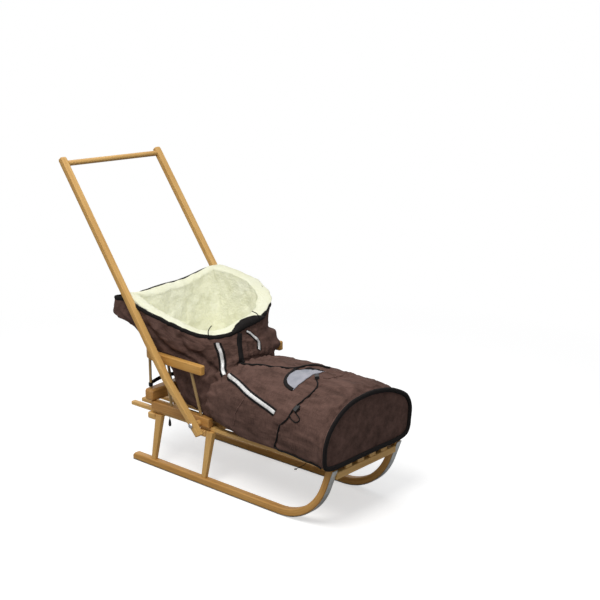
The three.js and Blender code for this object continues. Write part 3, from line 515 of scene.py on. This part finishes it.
def add_timber():
    """Dress every piece of wood, metal and plastic."""
    for i, side in enumerate(("left", "right")):
        dress([f"runner_{side}"], wood(f"runner_{side}_wood", *RUNNER, bend=CURL, seed=1.3 + i))
        dress([f"sole_strip_{side}"], SOLE, bevel=0)
        dress([f"backrest_board_{side}"], wood(f"board_{side}_wood", *SHADED_WOOD, seed=2.1 + i))
        dress([f"push_bar_{side}"], wood(f"bar_{side}_wood", *FRAME, turn=LEANING, seed=3.7 + i))
        spacer = wood(f"spacer_{side}_wood", *FRAME, turn=ACROSS, seed=4.4 + i)
        dress([f"pivot_spacer_{side}"], spacer, bevel=0.0004)
        dress([f"pivot_bolt_{side}", f"pivot_nut_{side}"], ZINC, bevel=0.0003)
        for j, place in enumerate(("rear", "mid")):
            name = f"leg_{place}_{side}"
            dress([name], wood(f"{name}_wood", *FRAME, turn=UP, seed=5.2 + i + 3 * j))
        for j, place in enumerate(("front", "mid", "corner", "back")):
            name = f"dowel_{place}_{side}"
            dress([name], wood(f"{name}_wood", *ROD, turn=UP, seed=6.6 + i + 2 * j), bevel=0.0002)
    for i in range(6):
        dress([f"seat_slat_{i + 1}"], wood(f"slat_{i + 1}_wood", *PALE, seed=8.0 + 1.7 * i))
    dress(["crosspiece_rear"], wood("crosspiece_rear_wood", *FRAME, turn=ACROSS, seed=21.0))
    dress(["crosspiece_mid"], wood("crosspiece_mid_wood", *FRAME, turn=ACROSS, seed=23.0))
    dress(["front_crossbar"], wood("front_crossbar_wood", *PALE, turn=ACROSS, seed=25.0))
    dress(["back_bearer"], wood("bearer_wood", *SHADED_WOOD, turn=ACROSS, seed=27.0))
    dress(["armrest_hoop"], wood("hoop_wood", *HOOP_WOOD, bend=HOOP, seed=29.0))
    dress(["handle_grip"], wood("grip_wood", *FRAME, turn=ACROSS, seed=31.0), bevel=0.0004)
    locks = [f"cord_lock_{place}_{part}" for place in ("upper", "lower") for part in ("body", "button")]
    dress([*locks, "cord_toggle"], PLASTIC, bevel=0.0004)


add_timber()


# Footmuff
# Stations from the foot to the mouth, each a slice from a low to a high place (forward, up).
# A slice is widest at a share of that line. Its outline is a power curve, squarer with a greater power.
SEAT = 199.6
LOWER = np.array(
    [(441, 203), (400, SEAT), (260, SEAT), (120, SEAT), (-22, SEAT), (-156, SEAT)]
    + [(-286, 205), (-312, 262), (-334, 372), (-356, 420), (-380, 510), (-405, 605)],
    float,
)
UPPER = np.array(
    [(441, 396), (400, 411), (252, 417), (112, 417), (25, 412), (-22, 402)]
    + [(-26.6, 412.6), (-33.4, 428.4), (-40, 448), (-47.8, 461.8), (-53.9, 475.9), (-60, 490)],
    float,
)
HALVES = np.array([205, 196, 187, 187, 174, 146, 134, 138, 152, 166, 186, 192], float)
WIDEST = np.array([0.25, 0.35, 0.42, 0.42, 0.42, 0.42, 0.4, 0.35, 0.3, 0.26, 0.22, 0.2])
LOW_POWERS = np.array([6, 6, 6, 6, 3.4, 2.3, 1.8, 1.6, 1.9, 2.8, 3.5, 4])
HIGH_POWERS = np.array([2.1, 2.1] + [2.2] * 10)

# How far forward, across and up the slack rim lies from a plane oval, at RIM_TURNS degrees round it.
# 0 is the far side, 90 the front, 180 the near side and -90 the back. It fades in from the share RIM_FROM.
RIM_FROM = 0.68
RIM_TURNS = np.arange(-180, 180, 15)
RIM = np.array(
    [(-12, -3, -16), (-25, -4, -4), (-46, -12, -6), (-38, -8, -14), (-18, 0, -22), (-6, 0, -18)]
    + [(0, 0, -11), (0, 0, 0), (0, 0, 10), (0, 0, 18), (0, 0, 27), (0, 0, 33)]
    + [(0, 0, 42), (5, 4, 60), (10, 22, 68), (10, 42, 58), (10, 44, 44), (8, 34, 24)]
    + [(2, 4, 12), (0, 0, -6), (0, 0, -19), (0, 0, -25), (0, 0, -22), (0, -2, -22)],
    float,
)

# Where the cloth bags out: a share and its spread, degrees and their spread, then forward, across and up
SLACK = [
    (0.965, 0.045, -152, 26, (-54, -10, -36)),
    (0.82, 0.06, 50, 26, (4, 12, 2)),
    (0.7, 0.075, 45, 28, (10, 66, 22)),
    (0.61, 0.05, 52, 20, (12, 62, 6)),
    (0.53, 0.045, 44, 20, (10, 34, -2)),
    (0.0, 0.05, 26, 26, (0, 20, 8)),
]


def smooth(values, share):
    """A smooth value through evenly spaced stations."""
    last = len(values) - 1
    place = np.clip(share, 0, 1) * last
    i = np.minimum(place.astype(int), last - 1)
    f = place - i
    ends = np.concatenate([[2 * values[0] - values[1]], values, [2 * values[-1] - values[-2]]])
    before, a, b, after = ends[i], ends[i + 1], ends[i + 2], ends[i + 3]
    cube = 3 * (a - b) + after - before
    return a + f * ((b - before) + f * ((2 * before - 5 * a + 4 * b - after) + f * cube)) / 2


def ease(value):
    """A smooth step from 0 to 1."""
    value = np.clip(value, 0, 1)
    return value * value * (3 - 2 * value)


def turned_from(angle, degrees):
    """Degrees from a place round the section, the short way."""
    return (np.degrees(angle) - degrees + 180) % 360 - 180


def muff_point(share, angle, inset=0.0, slack=1.0):
    """The footmuff's surface in millimetres, at a share of its length and an angle round its section.

    inset is a depth below it, and slack says how much of the cloth's bagging it follows."""
    share, angle, inset = np.broadcast_arrays(np.asarray(share, float), angle, inset)
    low = np.stack([smooth(LOWER[:, 0], share), np.maximum(smooth(LOWER[:, 1], share), SEAT)], -1)
    high = np.stack([smooth(UPPER[:, 0], share), smooth(UPPER[:, 1], share)], -1)
    along = high - low
    span = np.linalg.norm(along, axis=-1)
    along = along / span[..., None]
    widest = smooth(WIDEST, share)
    upper = np.sin(angle) > 0
    power = np.where(upper, smooth(HIGH_POWERS, share), smooth(LOW_POWERS, share))
    reach = np.where(upper, 1 - widest, widest) * span - inset

    def bow(value):
        return np.sign(value) * np.abs(value) ** (2 / power)

    across = bow(np.cos(angle)) * (smooth(HALVES, share) - inset)
    place = low + along * (widest * span + bow(np.sin(angle)) * reach)[..., None]
    point = np.stack([place[..., 0], across, place[..., 1]], -1)
    fade = ease((share - RIM_FROM) / (1 - RIM_FROM))
    degrees = np.degrees(angle)
    moved = np.stack([np.interp(degrees, RIM_TURNS, move, period=360) for move in RIM.T], -1)
    point = point + moved * fade[..., None]
    for share_at, share_spread, turn_at, turn_spread, bagged in SLACK:
        away = turned_from(angle, turn_at) / turn_spread
        weight = np.exp(-(((share - share_at) / share_spread) ** 2) - away ** 2)
        point = point + slack * weight[..., None] * np.array(bagged, float)
    return point


def even_angles(share, count):
    """Angles at even steps of a section's outline, from the underside round."""
    fine = np.linspace(-math.pi / 2, 1.5 * math.pi, 721)
    length = lengths(muff_point(share, fine))
    return np.interp(np.linspace(0, length[-1], count, endpoint=False), length, fine)


def route(stops, steps=60):
    """Shares and angles along stops, each a share of the length and a share of half a turn."""
    stops = np.asarray(stops, float)
    along = np.linspace(0, 1, steps + 1)
    return smooth(stops[:, 0], along), smooth(stops[:, 1], along) * math.pi


def grid_normals(points):
    """Outward normals of a ring grid."""
    ahead = np.gradient(points, axis=0)
    round_it = np.roll(points, -1, 1) - np.roll(points, 1, 1)
    return unit(np.cross(ahead, round_it))


def nearest(points, line):
    """Distance to a line of points, and the length along it."""
    flat = points.reshape(-1, 3)
    best = np.full(len(flat), np.inf)
    along = np.zeros(len(flat))
    for place, far in zip(line, lengths(line)):
        distance = np.linalg.norm(flat - place, axis=1)
        closer = distance < best
        best[closer] = distance[closer]
        along[closer] = far
    return best.reshape(points.shape[:-1]), along.reshape(points.shape[:-1])


def field(points, size, seed):
    """Smooth seeded noise at each point, from -1 to 1, with features of a size in millimetres."""
    flat = points.reshape(-1, 3) / size + seed
    made = np.fromiter((noise.noise(Vector(p)) for p in flat), float, len(flat))
    return made.reshape(points.shape[:-1])


def layered(points, layers):
    """Noise in layers, each with a height and a size in millimetres and a seed."""
    return sum(height * field(points, size, seed) for height, size, seed in layers)


# Unevenness of the cloth, the fleece and the foot panel
WRINKLES = [(4.5, 95, 3.1), (3.2, 46, 17.7), (1.3, 22, 31.3)]
LUMPS = [(5, 60, 29.0), (3.4, 30, 41.0), (1.8, 14, 55.0)]
FOOT_WRINKLES = [(2.2, 60, 71.0), (1.0, 24, 77.0)]

# Creases: stops of a route, the width and depth of the crease, the reach, height and spacing of its gathers
CREASES = [
    # the closure along the cover
    (
        [(0.47, 0.6), (0.36, 0.585), (0.28, 0.55), (0.22, 0.52), (0.17, 0.45), (0.145, 0.4)],
        (7, 6, 60, 2.2, 34),
    ),
    # the cover's cross seam and the casing of the elastic
    ([(0.15, 0.62), (0.142, 0.5), (0.145, 0.35), (0.15, 0.22), (0.16, 0.05)], (6, 3.5, 45, 1.6, 30)),
    (
        [(0.15, 0.6), (0.142, 0.68), (0.143, 0.76), (0.15, 0.83), (0.159, 0.92), (0.182, 1), (0.197, 1.14)],
        (6, 4, 45, 2.2, 24),
    ),
    # folds at the hip on the near side
    ([(0.5, 0.84), (0.482, 0.9), (0.46, 0.97), (0.445, 1.02), (0.43, 1.1)], (9, 13, 55, 3.2, 40)),
    ([(0.56, 0.78), (0.5, 0.82), (0.43, 0.8), (0.38, 0.77)], (9, 6, 40, 2, 30)),
    # the waist across the front and its gathers
    (
        [(0.5, 0.16), (0.47, 0.3), (0.462, 0.5), (0.468, 0.62), (0.47, 0.74), (0.49, 0.86)],
        (9, 8, 70, 3.2, 22),
    ),
    # the side seam
    ([(0.277, 0.84), (0.286, 0.93), (0.309, 1.04), (0.33, 1.12)], (2.5, 2, 20, 0.8, 18)),
    # long slack folds down the near side of the back
    ([(0.93, 0.84), (0.82, 0.85), (0.7, 0.82), (0.58, 0.77)], (10, 10, 30, 0, 30)),
    ([(0.94, 0.97), (0.84, 0.96), (0.74, 0.91), (0.66, 0.86)], (10, 9, 30, 0, 30)),
    # a fold across the thigh
    ([(0.4, 0.66), (0.37, 0.72), (0.3, 0.76), (0.25, 0.8)], (10, 3, 30, 1.2, 34)),
]


# The deepest crease and the highest fold, and the height over which the cloth comes clear of the slats
DEEPEST, HIGHEST = -15, 9
LYING, CLEAR = 203, 225


def folds(points, shares, angles):
    """How far the slack cloth stands out of the drawn surface, in millimetres."""
    out = layered(points, WRINKLES)
    # narrow ridges
    ridge = 1 - np.abs(field(points, 58, 61.0)) * 4
    out += 3.4 * np.clip(ridge, 0, 1) ** 2
    waver = field(points, 60, 5.5)
    for stops, (width, depth, reach, height, spacing) in CREASES:
        distance, along = nearest(points, muff_point(*route(stops)))
        gathers = np.sin(2 * math.pi * along / spacing + 3 * waver)
        out += gathers * height * np.exp(-((distance / reach) ** 2)) * np.clip(distance / width, 0, 1)
        out -= depth * np.exp(-((distance / width) ** 2))
        # the cloth swells beside the crease
        out += depth * 0.3 * np.exp(-(((distance - 2.2 * width) / width) ** 2))
    # gathers below the drawcord
    chest = np.exp(-(((shares - 0.965) / 0.05) ** 2)) * ease(np.sin(angles) * 0.5 + 0.7)
    out += chest * 2.4 * np.sin(angles * 34 + 2.5 * field(points, 80, 9.9))
    # the far shoulder is pulled smooth over the armrest
    out *= 1 - 0.8 * np.exp(-(((shares - 0.73) / 0.14) ** 4) - (turned_from(angles, 46) / 36) ** 4)
    # flat where it lies on the slats, and held by the piping at the foot
    clear = ease((points[..., 2] - LYING) / (CLEAR - LYING))
    held = ease(shares / 0.03)
    return np.clip(out, DEEPEST, HIGHEST) * clear * (0.25 + 0.75 * held)


# The grid of the shell and the lining
ROWS, COLUMNS = 150, 200
muff_shares = np.linspace(0, 1, ROWS + 1)
muff_angles = np.array([even_angles(share, COLUMNS) for share in muff_shares])
share_grid = np.repeat(muff_shares[:, None], COLUMNS, 1)
drawn = muff_point(share_grid, muff_angles)
drawn_normals = grid_normals(drawn)
fold_grid = folds(drawn, share_grid, muff_angles)
fold_moves = drawn_normals * fold_grid[..., None]

# The way up out of the mouth at its rim, and degrees round it from the middle of the rolled stretch
rim_up = unit(drawn[-1] - drawn[-3])
rolled = turned_from(muff_angles[-1], 22)


def ring_faces(rows, columns):
    """Faces between closed rings of points."""
    faces = []
    for i in range(rows - 1):
        for j in range(columns):
            k = (j + 1) % columns
            a, b = i * columns, (i + 1) * columns
            faces.append((a + j, b + j, b + k, a + k))
    return faces


def end_faces(rows, columns):
    """One face on each end of a stack of rings."""
    last = (rows - 1) * columns
    return [tuple(range(columns)), tuple(reversed(range(last, last + columns)))]


def ring_uvs(rows, columns, width=1.1, length=1.15):
    """Uvs of the faces between rings, over a width and a length in metres."""
    uvs = []
    for i in range(rows - 1):
        v0, v1 = i / (rows - 1) * length, (i + 1) / (rows - 1) * length
        for j in range(columns):
            u0, u1 = j / columns * width, (j + 1) / columns * width
            uvs += [(u0, v0), (u0, v1), (u1, v1), (u1, v0)]
    return uvs


def sleeve(name, rings, material, closed):
    """A skin of stacked rings. closed joins the last ring to the first, else each end gets a face."""
    rows, columns = rings.shape[:2]
    faces = ring_faces(rows, columns)
    uvs = ring_uvs(rows, columns)
    if closed:
        for j in range(columns):
            k = (j + 1) % columns
            a = (rows - 1) * columns
            faces.append((a + j, j, k, a + k))
            uvs += [(0, 0), (0, 0.001), (0.005, 0.001), (0.005, 0)]
    else:
        faces += end_faces(rows, columns)
    return mesh_piece(name, rings.reshape(-1, 3), faces, material, uvs)


# The shell's two sides
CLOTH = 5.0
shell_outer = drawn + fold_moves
shell_inner = muff_point(share_grid, muff_angles, CLOTH) + fold_moves


def add_shell():
    """The quilted cloth, from its outer side to its inner side."""
    rings = np.concatenate([shell_outer, shell_inner[::-1]])
    piece = sleeve("muff_shell", rings, BROWN, True)
    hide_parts("footmuff_shell")


add_shell()


SHELL = BVHTree.FromPolygons(shell_outer.reshape(-1, 3).tolist(), ring_faces(ROWS + 1, COLUMNS))


def normal_at(share, angle):
    """The outward direction of the drawn surface."""
    step = 0.004
    ahead = muff_point(np.minimum(share + step, 1), angle) - muff_point(np.maximum(share - step, 0), angle)
    round_it = muff_point(share, angle + step) - muff_point(share, angle - step)
    return unit(np.cross(ahead, round_it))


def on_shell(point, normal, lift):
    """The place a lift above the folded shell, where a point's normal meets it."""
    above, reach = 26, 60
    start = Vector(point) + Vector(normal) * above
    hit = SHELL.ray_cast(start, -Vector(normal), reach)[0]
    base = hit if hit is not None else Vector(point)
    return np.array(base + Vector(normal) * lift)


def sewn_uvs(points, count):
    """Uvs of a band that runs along points, with so many places round it."""
    girth = 0.05
    length = lengths(points) / 1000
    uvs = []
    for u0, u1 in zip(length, length[1:]):
        for j in range(count):
            v0, v1 = j / count * girth, (j + 1) / count * girth
            uvs += [(u0, v0), (u1, v0), (u1, v1), (u0, v1)]
    return uvs


def ribbon(name, stops, half, thickness, lift, material=BLACK, steps=60, replaces=()):
    """A band sewn along stops on the shell. half is its half width, or gives it for a share of the way."""
    shares, angles = route(stops, steps)
    points = muff_point(shares, angles)
    normals = normal_at(shares, angles)
    across = unit(np.cross(np.gradient(points, axis=0), normals))
    rings = []
    for i, (point, normal, side) in enumerate(zip(points, normals, across)):
        width = half(i / steps) if callable(half) else half
        low, high = [], []
        for t in np.linspace(-1, 1, 5):
            place = on_shell(point + side * t * width, normal, lift)
            crown = thickness * (0.55 + 0.45 * (1 - t ** 4))
            low.append(place)
            high.append(place + normal * crown)
        rings.append(low + high[::-1])
    rings = evened(np.array(rings), 12)
    rows, count = rings.shape[:2]
    faces = ring_faces(rows, count) + end_faces(rows, count)
    piece = mesh_piece(name, rings.reshape(-1, 3), faces, material, sewn_uvs(points, count))
    if replaces:
        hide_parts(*replaces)


# Fleece
def add_lining():
    """The fleece: thicker towards the rim, deeper at the waist, with a lip that rolls over the far rim."""
    loose = 0.4
    deep = 8 + 10 * np.exp(-(((share_grid - 0.49) / 0.06) ** 2))
    thick = 15 + 17 * np.exp(-(((1 - share_grid) / 0.16) ** 2))
    outer = muff_point(share_grid, muff_angles, deep, loose) + fold_moves
    inner = muff_point(share_grid, muff_angles, deep + thick, loose) + fold_moves * 0.5
    inner = inner - drawn_normals * layered(drawn, LUMPS)[..., None]
    middle, half = (outer[-1] + inner[-1]) / 2, (outer[-1] - inner[-1]) / 2
    rise = 13 + 4 * field(drawn[-1][None], 30, 7.0)[0]
    cover = 26 * np.exp(-((rolled / 54) ** 4))
    lip = []
    for turn in np.linspace(0, math.pi, 15)[1:-1]:
        swell = 1 + 0.35 * math.sin(turn)
        over = cover * math.sin(turn) ** 0.7 * (1 + math.cos(turn)) / 2
        place = middle + half * math.cos(turn) * swell + rim_up * (rise * math.sin(turn))[:, None]
        lip.append(place + drawn_normals[-1] * over[:, None])
    # the pile on the foot panel
    pile_depth = 12
    inner[0, :, 0] -= pile_depth
    rings = np.concatenate([outer, np.array(lip), inner[::-1]])
    piece = sleeve("fleece_pile", rings, FLEECE, False)
    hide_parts("fleece_lining")


add_lining()


# Binding, foot panel and piping
def add_binding():
    """The binding round the mouth, which sits lower where the fleece rolls over it."""
    raised = 1.5 - 13 * np.exp(-((rolled / 50) ** 6))
    path = (shell_outer[-1] + shell_inner[-1]) / 2 + rim_up * raised[:, None]
    piece = tube("rim_binding", path, (7.0, 5.0), 12, BLACK, closed=True, flat=drawn_normals[-1])
    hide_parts("mouth_binding")


add_binding()


def add_foot():
    """The domed foot panel with its upright seam, and the piping round it."""
    back_x, front_x, piping_x = 441.6, 447.5, 450.5
    swell, seam_y, seam_width, seam_depth = 7, 150, 3.0, 2.2
    ring = shell_outer[0]
    centre = np.array([441.0, 0, 300])
    outward = np.linspace(0.005, 1, 34)
    front = centre + (ring - centre) * outward[:, None, None]
    dome = 1 - outward[:, None] ** 2.4
    wrinkle = layered(front, FOOT_WRINKLES) * np.minimum(dome * 3, 1)
    seam = np.exp(-(((front[..., 1] - seam_y) / seam_width) ** 2)) * seam_depth
    back = front.copy()
    back[..., 0] = back_x
    front[..., 0] = front_x + swell * dome + wrinkle - seam
    rings = np.concatenate([front, back[::-1]])
    rows, count = rings.shape[:2]
    points = rings.reshape(-1, 3)
    faces = [face[::-1] for face in ring_faces(rows, count)]
    uvs = [(points[index][1] / 1000, points[index][2] / 1000) for face in faces for index in face]
    faces += end_faces(rows, count)
    piece = mesh_piece("foot_end", points, faces, BROWN, uvs)
    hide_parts("foot_panel")

    inward = unit(centre - ring)
    path = ring + inward * 4
    path[:, 0] = piping_x
    piece = tube("foot_welt", path, (5.5, 7.5), 14, BLACK, closed=True, flat=-inward)
    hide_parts("foot_piping")


add_foot()


# Strips, placket and badge: stops of routes on the shell
CHEST = [(0.925, 0.66), (0.76, 0.69), (0.655, 0.71), (0.46, 0.75)]
FAR = [(0.93, 0.5), (0.84, 0.475), (0.75, 0.45), (0.68, 0.44), (0.61, 0.443)]
SIDE = [(0.405, 0.745), (0.33, 0.776), (0.259, 0.842), (0.191, 0.91)]
PLACKET = [(0.96, 0.535), (0.78, 0.56), (0.6, 0.585), (0.46, 0.6)]
CLOSURE = [(0.468, 0.62), (0.4, 0.61), (0.332, 0.594), (0.282, 0.55)]
CLOSURE += [(0.232, 0.54), (0.214, 0.44), (0.182, 0.41)]
# Each ribbon's half width, thickness and lift above the shell, in millimetres
ribbon("chest_tape_edge", CHEST, 12.5, 1.0, 1.6)
ribbon("chest_tape", CHEST, 5.4, 0.8, 2.9, TAPE, replaces=["reflective_strip_chest"])
ribbon("far_tape_edge", FAR, lambda t: 6 + 4 * t, 1.0, 1.4)
ribbon(
    "far_tape", FAR, lambda t: 2.6 + 3.8 * t, 0.8, 2.9, TAPE,
    replaces=["reflective_strip_far"],
)
ribbon("side_tape_edge", SIDE, 12.0, 1.0, 1.6, steps=90)
ribbon("side_tape", SIDE, 5.6, 0.8, 2.9, TAPE, steps=90, replaces=["reflective_strip_side"])
ribbon("placket_band", PLACKET, 9.0, 2.6, 1.2, replaces=["placket"])


def down_on_shell(x, y, lift):
    """The place a lift above the shell at a point seen from above, and the shell's direction there."""
    above = 700
    hit, normal = SHELL.ray_cast(Vector((x, y, above)), Vector((0, 0, -1)))[:2]
    normal = normal if normal.z > 0 else -normal
    return np.array(hit + normal * lift), np.array(normal)


def add_badge():
    """A bare half-round patch on the cover, with a tape border on its round side."""
    centre_x, centre_y, radius = 262, -50, 72
    thickness, columns, steps = 2.0, 12, 48
    rings, flat_rings = [], []
    for i in range(steps + 1):
        turn = math.pi * (0.02 + 0.96 * i / steps)
        y = centre_y - radius * math.cos(turn)
        depth = radius * math.sin(turn)
        low, high, flat = [], [], []
        for column in range(columns + 1):
            x = centre_x - depth * column / columns
            place, normal = down_on_shell(x, y, 1.0)
            low.append(place)
            high.append(place + normal * thickness)
            flat.append((x / 1000, y / 1000))
        rings.append(low + high[::-1])
        flat_rings += flat + flat[::-1]
    rings = evened(np.array(rings), 3)
    rows, count = rings.shape[:2]
    faces = ring_faces(rows, count)
    uvs = [flat_rings[index] for face in faces for index in face]
    faces += end_faces(rows, count)
    piece = mesh_piece("badge_face", rings.reshape(-1, 3), faces, BADGE, uvs)
    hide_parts("badge_patch")

    border, normals = [], []
    for turn in np.linspace(0.03, math.pi - 0.03, 60):
        x = centre_x - radius * math.sin(turn)
        y = centre_y - radius * math.cos(turn)
        place, normal = down_on_shell(x, y, 2.2)
        border.append(place)
        normals.append(normal)
    tube("badge_border", evened(np.array(border), 3), (6.5, 2.2), 12, BLACK, flat=np.array(normals))


add_badge()


def surface_cord(name, stops, radius, lift, replaces=(), material=CORD):
    """A round cord, welt or seam along stops on the shell."""
    shares, angles = route(stops, 90)
    points = muff_point(shares, angles)
    normals = normal_at(shares, angles)
    path = np.array([on_shell(p, n, radius + lift) for p, n in zip(points, normals)])
    piece = tube(name, evened(path, 12), (radius, radius), 10, material)
    if replaces:
        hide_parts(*replaces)


ELASTIC = [(0.1575, 0.581), (0.148, 0.61), (0.142, 0.68), (0.145, 0.76), (0.154, 0.83), (0.16, 0.92)]
ELASTIC += [(0.182, 1), (0.191, 1.06), (0.197, 1.14)]
# The hem along the bag's lower edge: a black cord that is partly painted shadow where the bag meets the
# seat.
HEM_AND_SHADOW = [(0.197, 1.13), (0.15, 1.15), (0.1, 1.145), (0.05, 1.135), (0.012, 1.13)]
LOOP = [(0.15, 0.85), (0.139, 0.872), (0.135, 0.895), (0.142, 0.915), (0.153, 0.905), (0.157, 0.885)]
SIDE_SEAM = [(0.277, 0.86), (0.286, 0.93), (0.3, 1.0), (0.309, 1.04)]
COVER_SEAM = [(0.152, 0.55), (0.146, 0.48), (0.145, 0.36), (0.147, 0.22)]
# Each cord's radius, and its lift above the shell or, below 0, its depth in the cloth
surface_cord("elastic_line", ELASTIC, 2.3, 0.3, replaces=["elastic_cord"])
surface_cord("hem_and_shadow_line", HEM_AND_SHADOW, 2.8, -0.4)
surface_cord("cover_closure", CLOSURE, 3.0, 0.4)
surface_cord("lock_loop", LOOP, 1.7, 0.3)
surface_cord("side_seam", SIDE_SEAM, 1.3, -0.3, material=LIT_SEAM)
surface_cord("cover_seam", COVER_SEAM, 1.3, -0.3, material=LIT_SEAM)


def add_gather():
    """The black facing of the drawn mouth, standing up in pleats at the front. It also darkens the mouth's
    hollow as painted shade.
    """
    seam, thickness, standing, tallest = 0.985, 2.6, 7, 31
    across = np.linspace(0, 1, 41)
    turn = np.radians(75 + 27 * across)
    rim = muff_point(seam, turn)
    up = unit(muff_point(1.0, turn) - muff_point(0.97, turn))
    out = normal_at(seam, turn)
    height = tallest * np.sin(math.pi * (0.06 + 0.88 * across)) ** 0.7
    pleats = 3.0 * np.sin(across * 30)
    front, back = [], []
    for step in np.linspace(0, 1, 9):
        bow = 5 * math.sin(math.pi * step) - 12 * step ** 2
        stand = standing + bow + pleats * (0.35 + 0.65 * step)
        place = rim + up * (height * step)[:, None] + out * stand[:, None]
        front.append(place)
        back.append(place - out * thickness)
    rings = np.transpose(np.concatenate([front, back[::-1]]), (1, 0, 2))
    rows, count = rings.shape[:2]
    faces = [face[::-1] for face in ring_faces(rows, count) + end_faces(rows, count)]
    uvs = ring_uvs(rows, count, 0.09, 0.1)
    mesh_piece("mouth_gather", rings.reshape(-1, 3), faces, BLACK, uvs)


add_gather()


def add_tails():
    """The drawcord's two ends where they leave the rim, each curling towards a side."""
    for name, degrees, side in (("tail_near", 124, 1), ("tail_far", 80, -1)):
        turn = math.radians(degrees)
        rim = muff_point(1.0, turn)
        up = unit(rim - muff_point(0.97, turn))
        out = normal_at(0.985, turn)
        along = np.cross(up, out) * side
        stops = [rim + out * 6 - up * 6, rim + out * 9 + up * 10, rim + out * 6 + up * 24 + along * 6]
        stops += [rim + up * 33 + along * 20]
        tube(name, spline(stops, 24), (1.5, 1.5), 8, CORD)


add_tails()


# Straps to the rear corner dowels: forward, to the side and up from STRAP_HEIGHT
STRAP_HEIGHT = 284
STRAP = [(-356, 112, 9), (-354, 74, 13), (-346, 36, 10), (-326, 4, 2)]
# How far round the armrest's bend the corner dowels stand
CORNER = math.radians(43)
LOOP_RADIUS = 6.4


def add_straps():
    """A strap on each side, with a loop round the corner dowel."""
    back, half, radius = (1000 * size for size in (HOOP_BACK, HOOP_HALF, HOOP_RADIUS))
    for side, sign in (("left", 1), ("right", -1)):
        x = back - radius * math.cos(CORNER)
        y = sign * (half + radius * math.sin(CORNER))
        turns = np.linspace(0, 2 * math.pi, 24, endpoint=False)
        loop = [(x + LOOP_RADIUS * math.cos(t), y + LOOP_RADIUS * math.sin(t), STRAP_HEIGHT) for t in turns]
        piece = tube(f"strap_loop_{side}", loop, (1.0, 6.5), 12, BLACK, closed=True, flat=(0, 0, 1.0))
        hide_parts(f"muff_strap_{side}")
        stops = [(forward, sign * across, STRAP_HEIGHT + up) for forward, across, up in STRAP]
        band = spline([(x - 6, y, STRAP_HEIGHT), *stops], 40)
        tube(f"strap_band_{side}", band, (1.2, 7.0), 12, BLACK, flat=(0, 0, 1.0))


add_straps()


# Stage
# Each lamp's name, place, aim, width, watts and colour
LAMPS = [
    ("key", (0.7, -1.7, 3.1), (0.0, 0.0, 0.3), 1.8, 72, (1.0, 0.98, 0.95)),
    ("top", (-0.3, 0.5, 3.4), (0.0, 0.0, 0.3), 2.2, 22, (1.0, 1.0, 1.0)),
    ("side", (-2.4, -2.0, 1.6), (0.0, 0.0, 0.4), 2.0, 5, (0.96, 0.98, 1.0)),
]


def add_lamp(name, data, place, aim):
    """Put up a lamp that shines from a place towards its aim."""
    lamp = new_object(name, data)
    lamp.location = place
    lamp.rotation_euler = (Vector(aim) - Vector(place)).to_track_quat("-Z", "Y").to_euler()


def add_floor():
    """A wide floor: it takes a soft shadow near the sledge and fades to white further out."""
    size, drop = 30.0, 0.0005
    fade_from, fade_to = 1.1, 2.4
    corners = [(-size, -size, -drop), (size, -size, -drop), (size, size, -drop), (-size, size, -drop)]
    mesh = bpy.data.meshes.new("floor")
    mesh.from_pydata(corners, [], [(0, 1, 2, 3)])
    floor = new_object("floor", mesh)
    f = Finish("floor_white")
    place = f.coords.outputs["Object"]
    away = f.add("ShaderNodeVectorMath", {0: place}, operation="LENGTH").outputs["Value"]
    away = f.span(away, fade_from, fade_to)
    seen = f.add("ShaderNodeLightPath").outputs["Is Camera Ray"]
    near = f.mix(seen, (0.42, 0.42, 0.42, 1), (0.66, 0.66, 0.66, 1))
    glow = f.math("MULTIPLY", seen, f.span(away, 0, 1, 0.55, 1.0))
    paint = f.shade(
        Base_Color=f.mix(away, near, (0.0, 0.0, 0.0, 1)),
        Roughness=0.9,
        Specular_IOR_Level=0.0,
        Emission_Color=(1, 1, 1, 1),
        Emission_Strength=glow,
    )
    mesh.materials.append(paint)


def add_world():
    """A soft grey light all round, which the camera and reflections see as white."""
    world = bpy.data.worlds.new("studio")
    bpy.context.scene.world = world
    world.use_nodes = True
    tree = world.node_tree
    tree.nodes.clear()
    mix = tree.nodes.new("ShaderNodeMixShader")
    rays = tree.nodes.new("ShaderNodeLightPath")
    seen = rays.outputs["Is Camera Ray"]
    for ray in ("Is Glossy Ray", "Is Transmission Ray"):
        either = tree.nodes.new("ShaderNodeMath")
        either.operation = "MAXIMUM"
        tree.links.new(seen, either.inputs[0])
        tree.links.new(rays.outputs[ray], either.inputs[1])
        seen = either.outputs[0]
    tree.links.new(seen, mix.inputs[0])
    soft, white = ((0.95, 0.97, 1, 1), 0.36), ((1, 1, 1, 1), 1.0)
    for socket, (colour, strength) in zip(mix.inputs[1:], (soft, white)):
        light = tree.nodes.new("ShaderNodeBackground")
        light.inputs["Color"].default_value = colour
        light.inputs["Strength"].default_value = strength
        tree.links.new(light.outputs[0], socket)
    out = tree.nodes.new("ShaderNodeOutputWorld")
    tree.links.new(mix.outputs[0], out.inputs["Surface"])


def add_lamps():
    """The lamps of the table, and one on the footmuff's mouth."""
    for name, place, aim, width, power, colour in LAMPS:
        data = bpy.data.lights.new(name, "AREA")
        data.shape = "DISK"
        data.size = width
        data.energy = power
        data.color = colour
        add_lamp(name, data, place, aim)
    # a narrow light into the mouth
    data = bpy.data.lights.new("front", "SPOT")
    data.energy = 95
    data.spot_size = math.radians(15)
    data.spot_blend = 0.9
    data.shadow_soft_size = 0.35
    add_lamp("front", data, (2.3, -1.5, 2.1), (-0.12, 0.02, 0.46))


add_floor()
add_world()
add_lamps()
bpy.context.scene.view_settings.view_transform = "Standard"
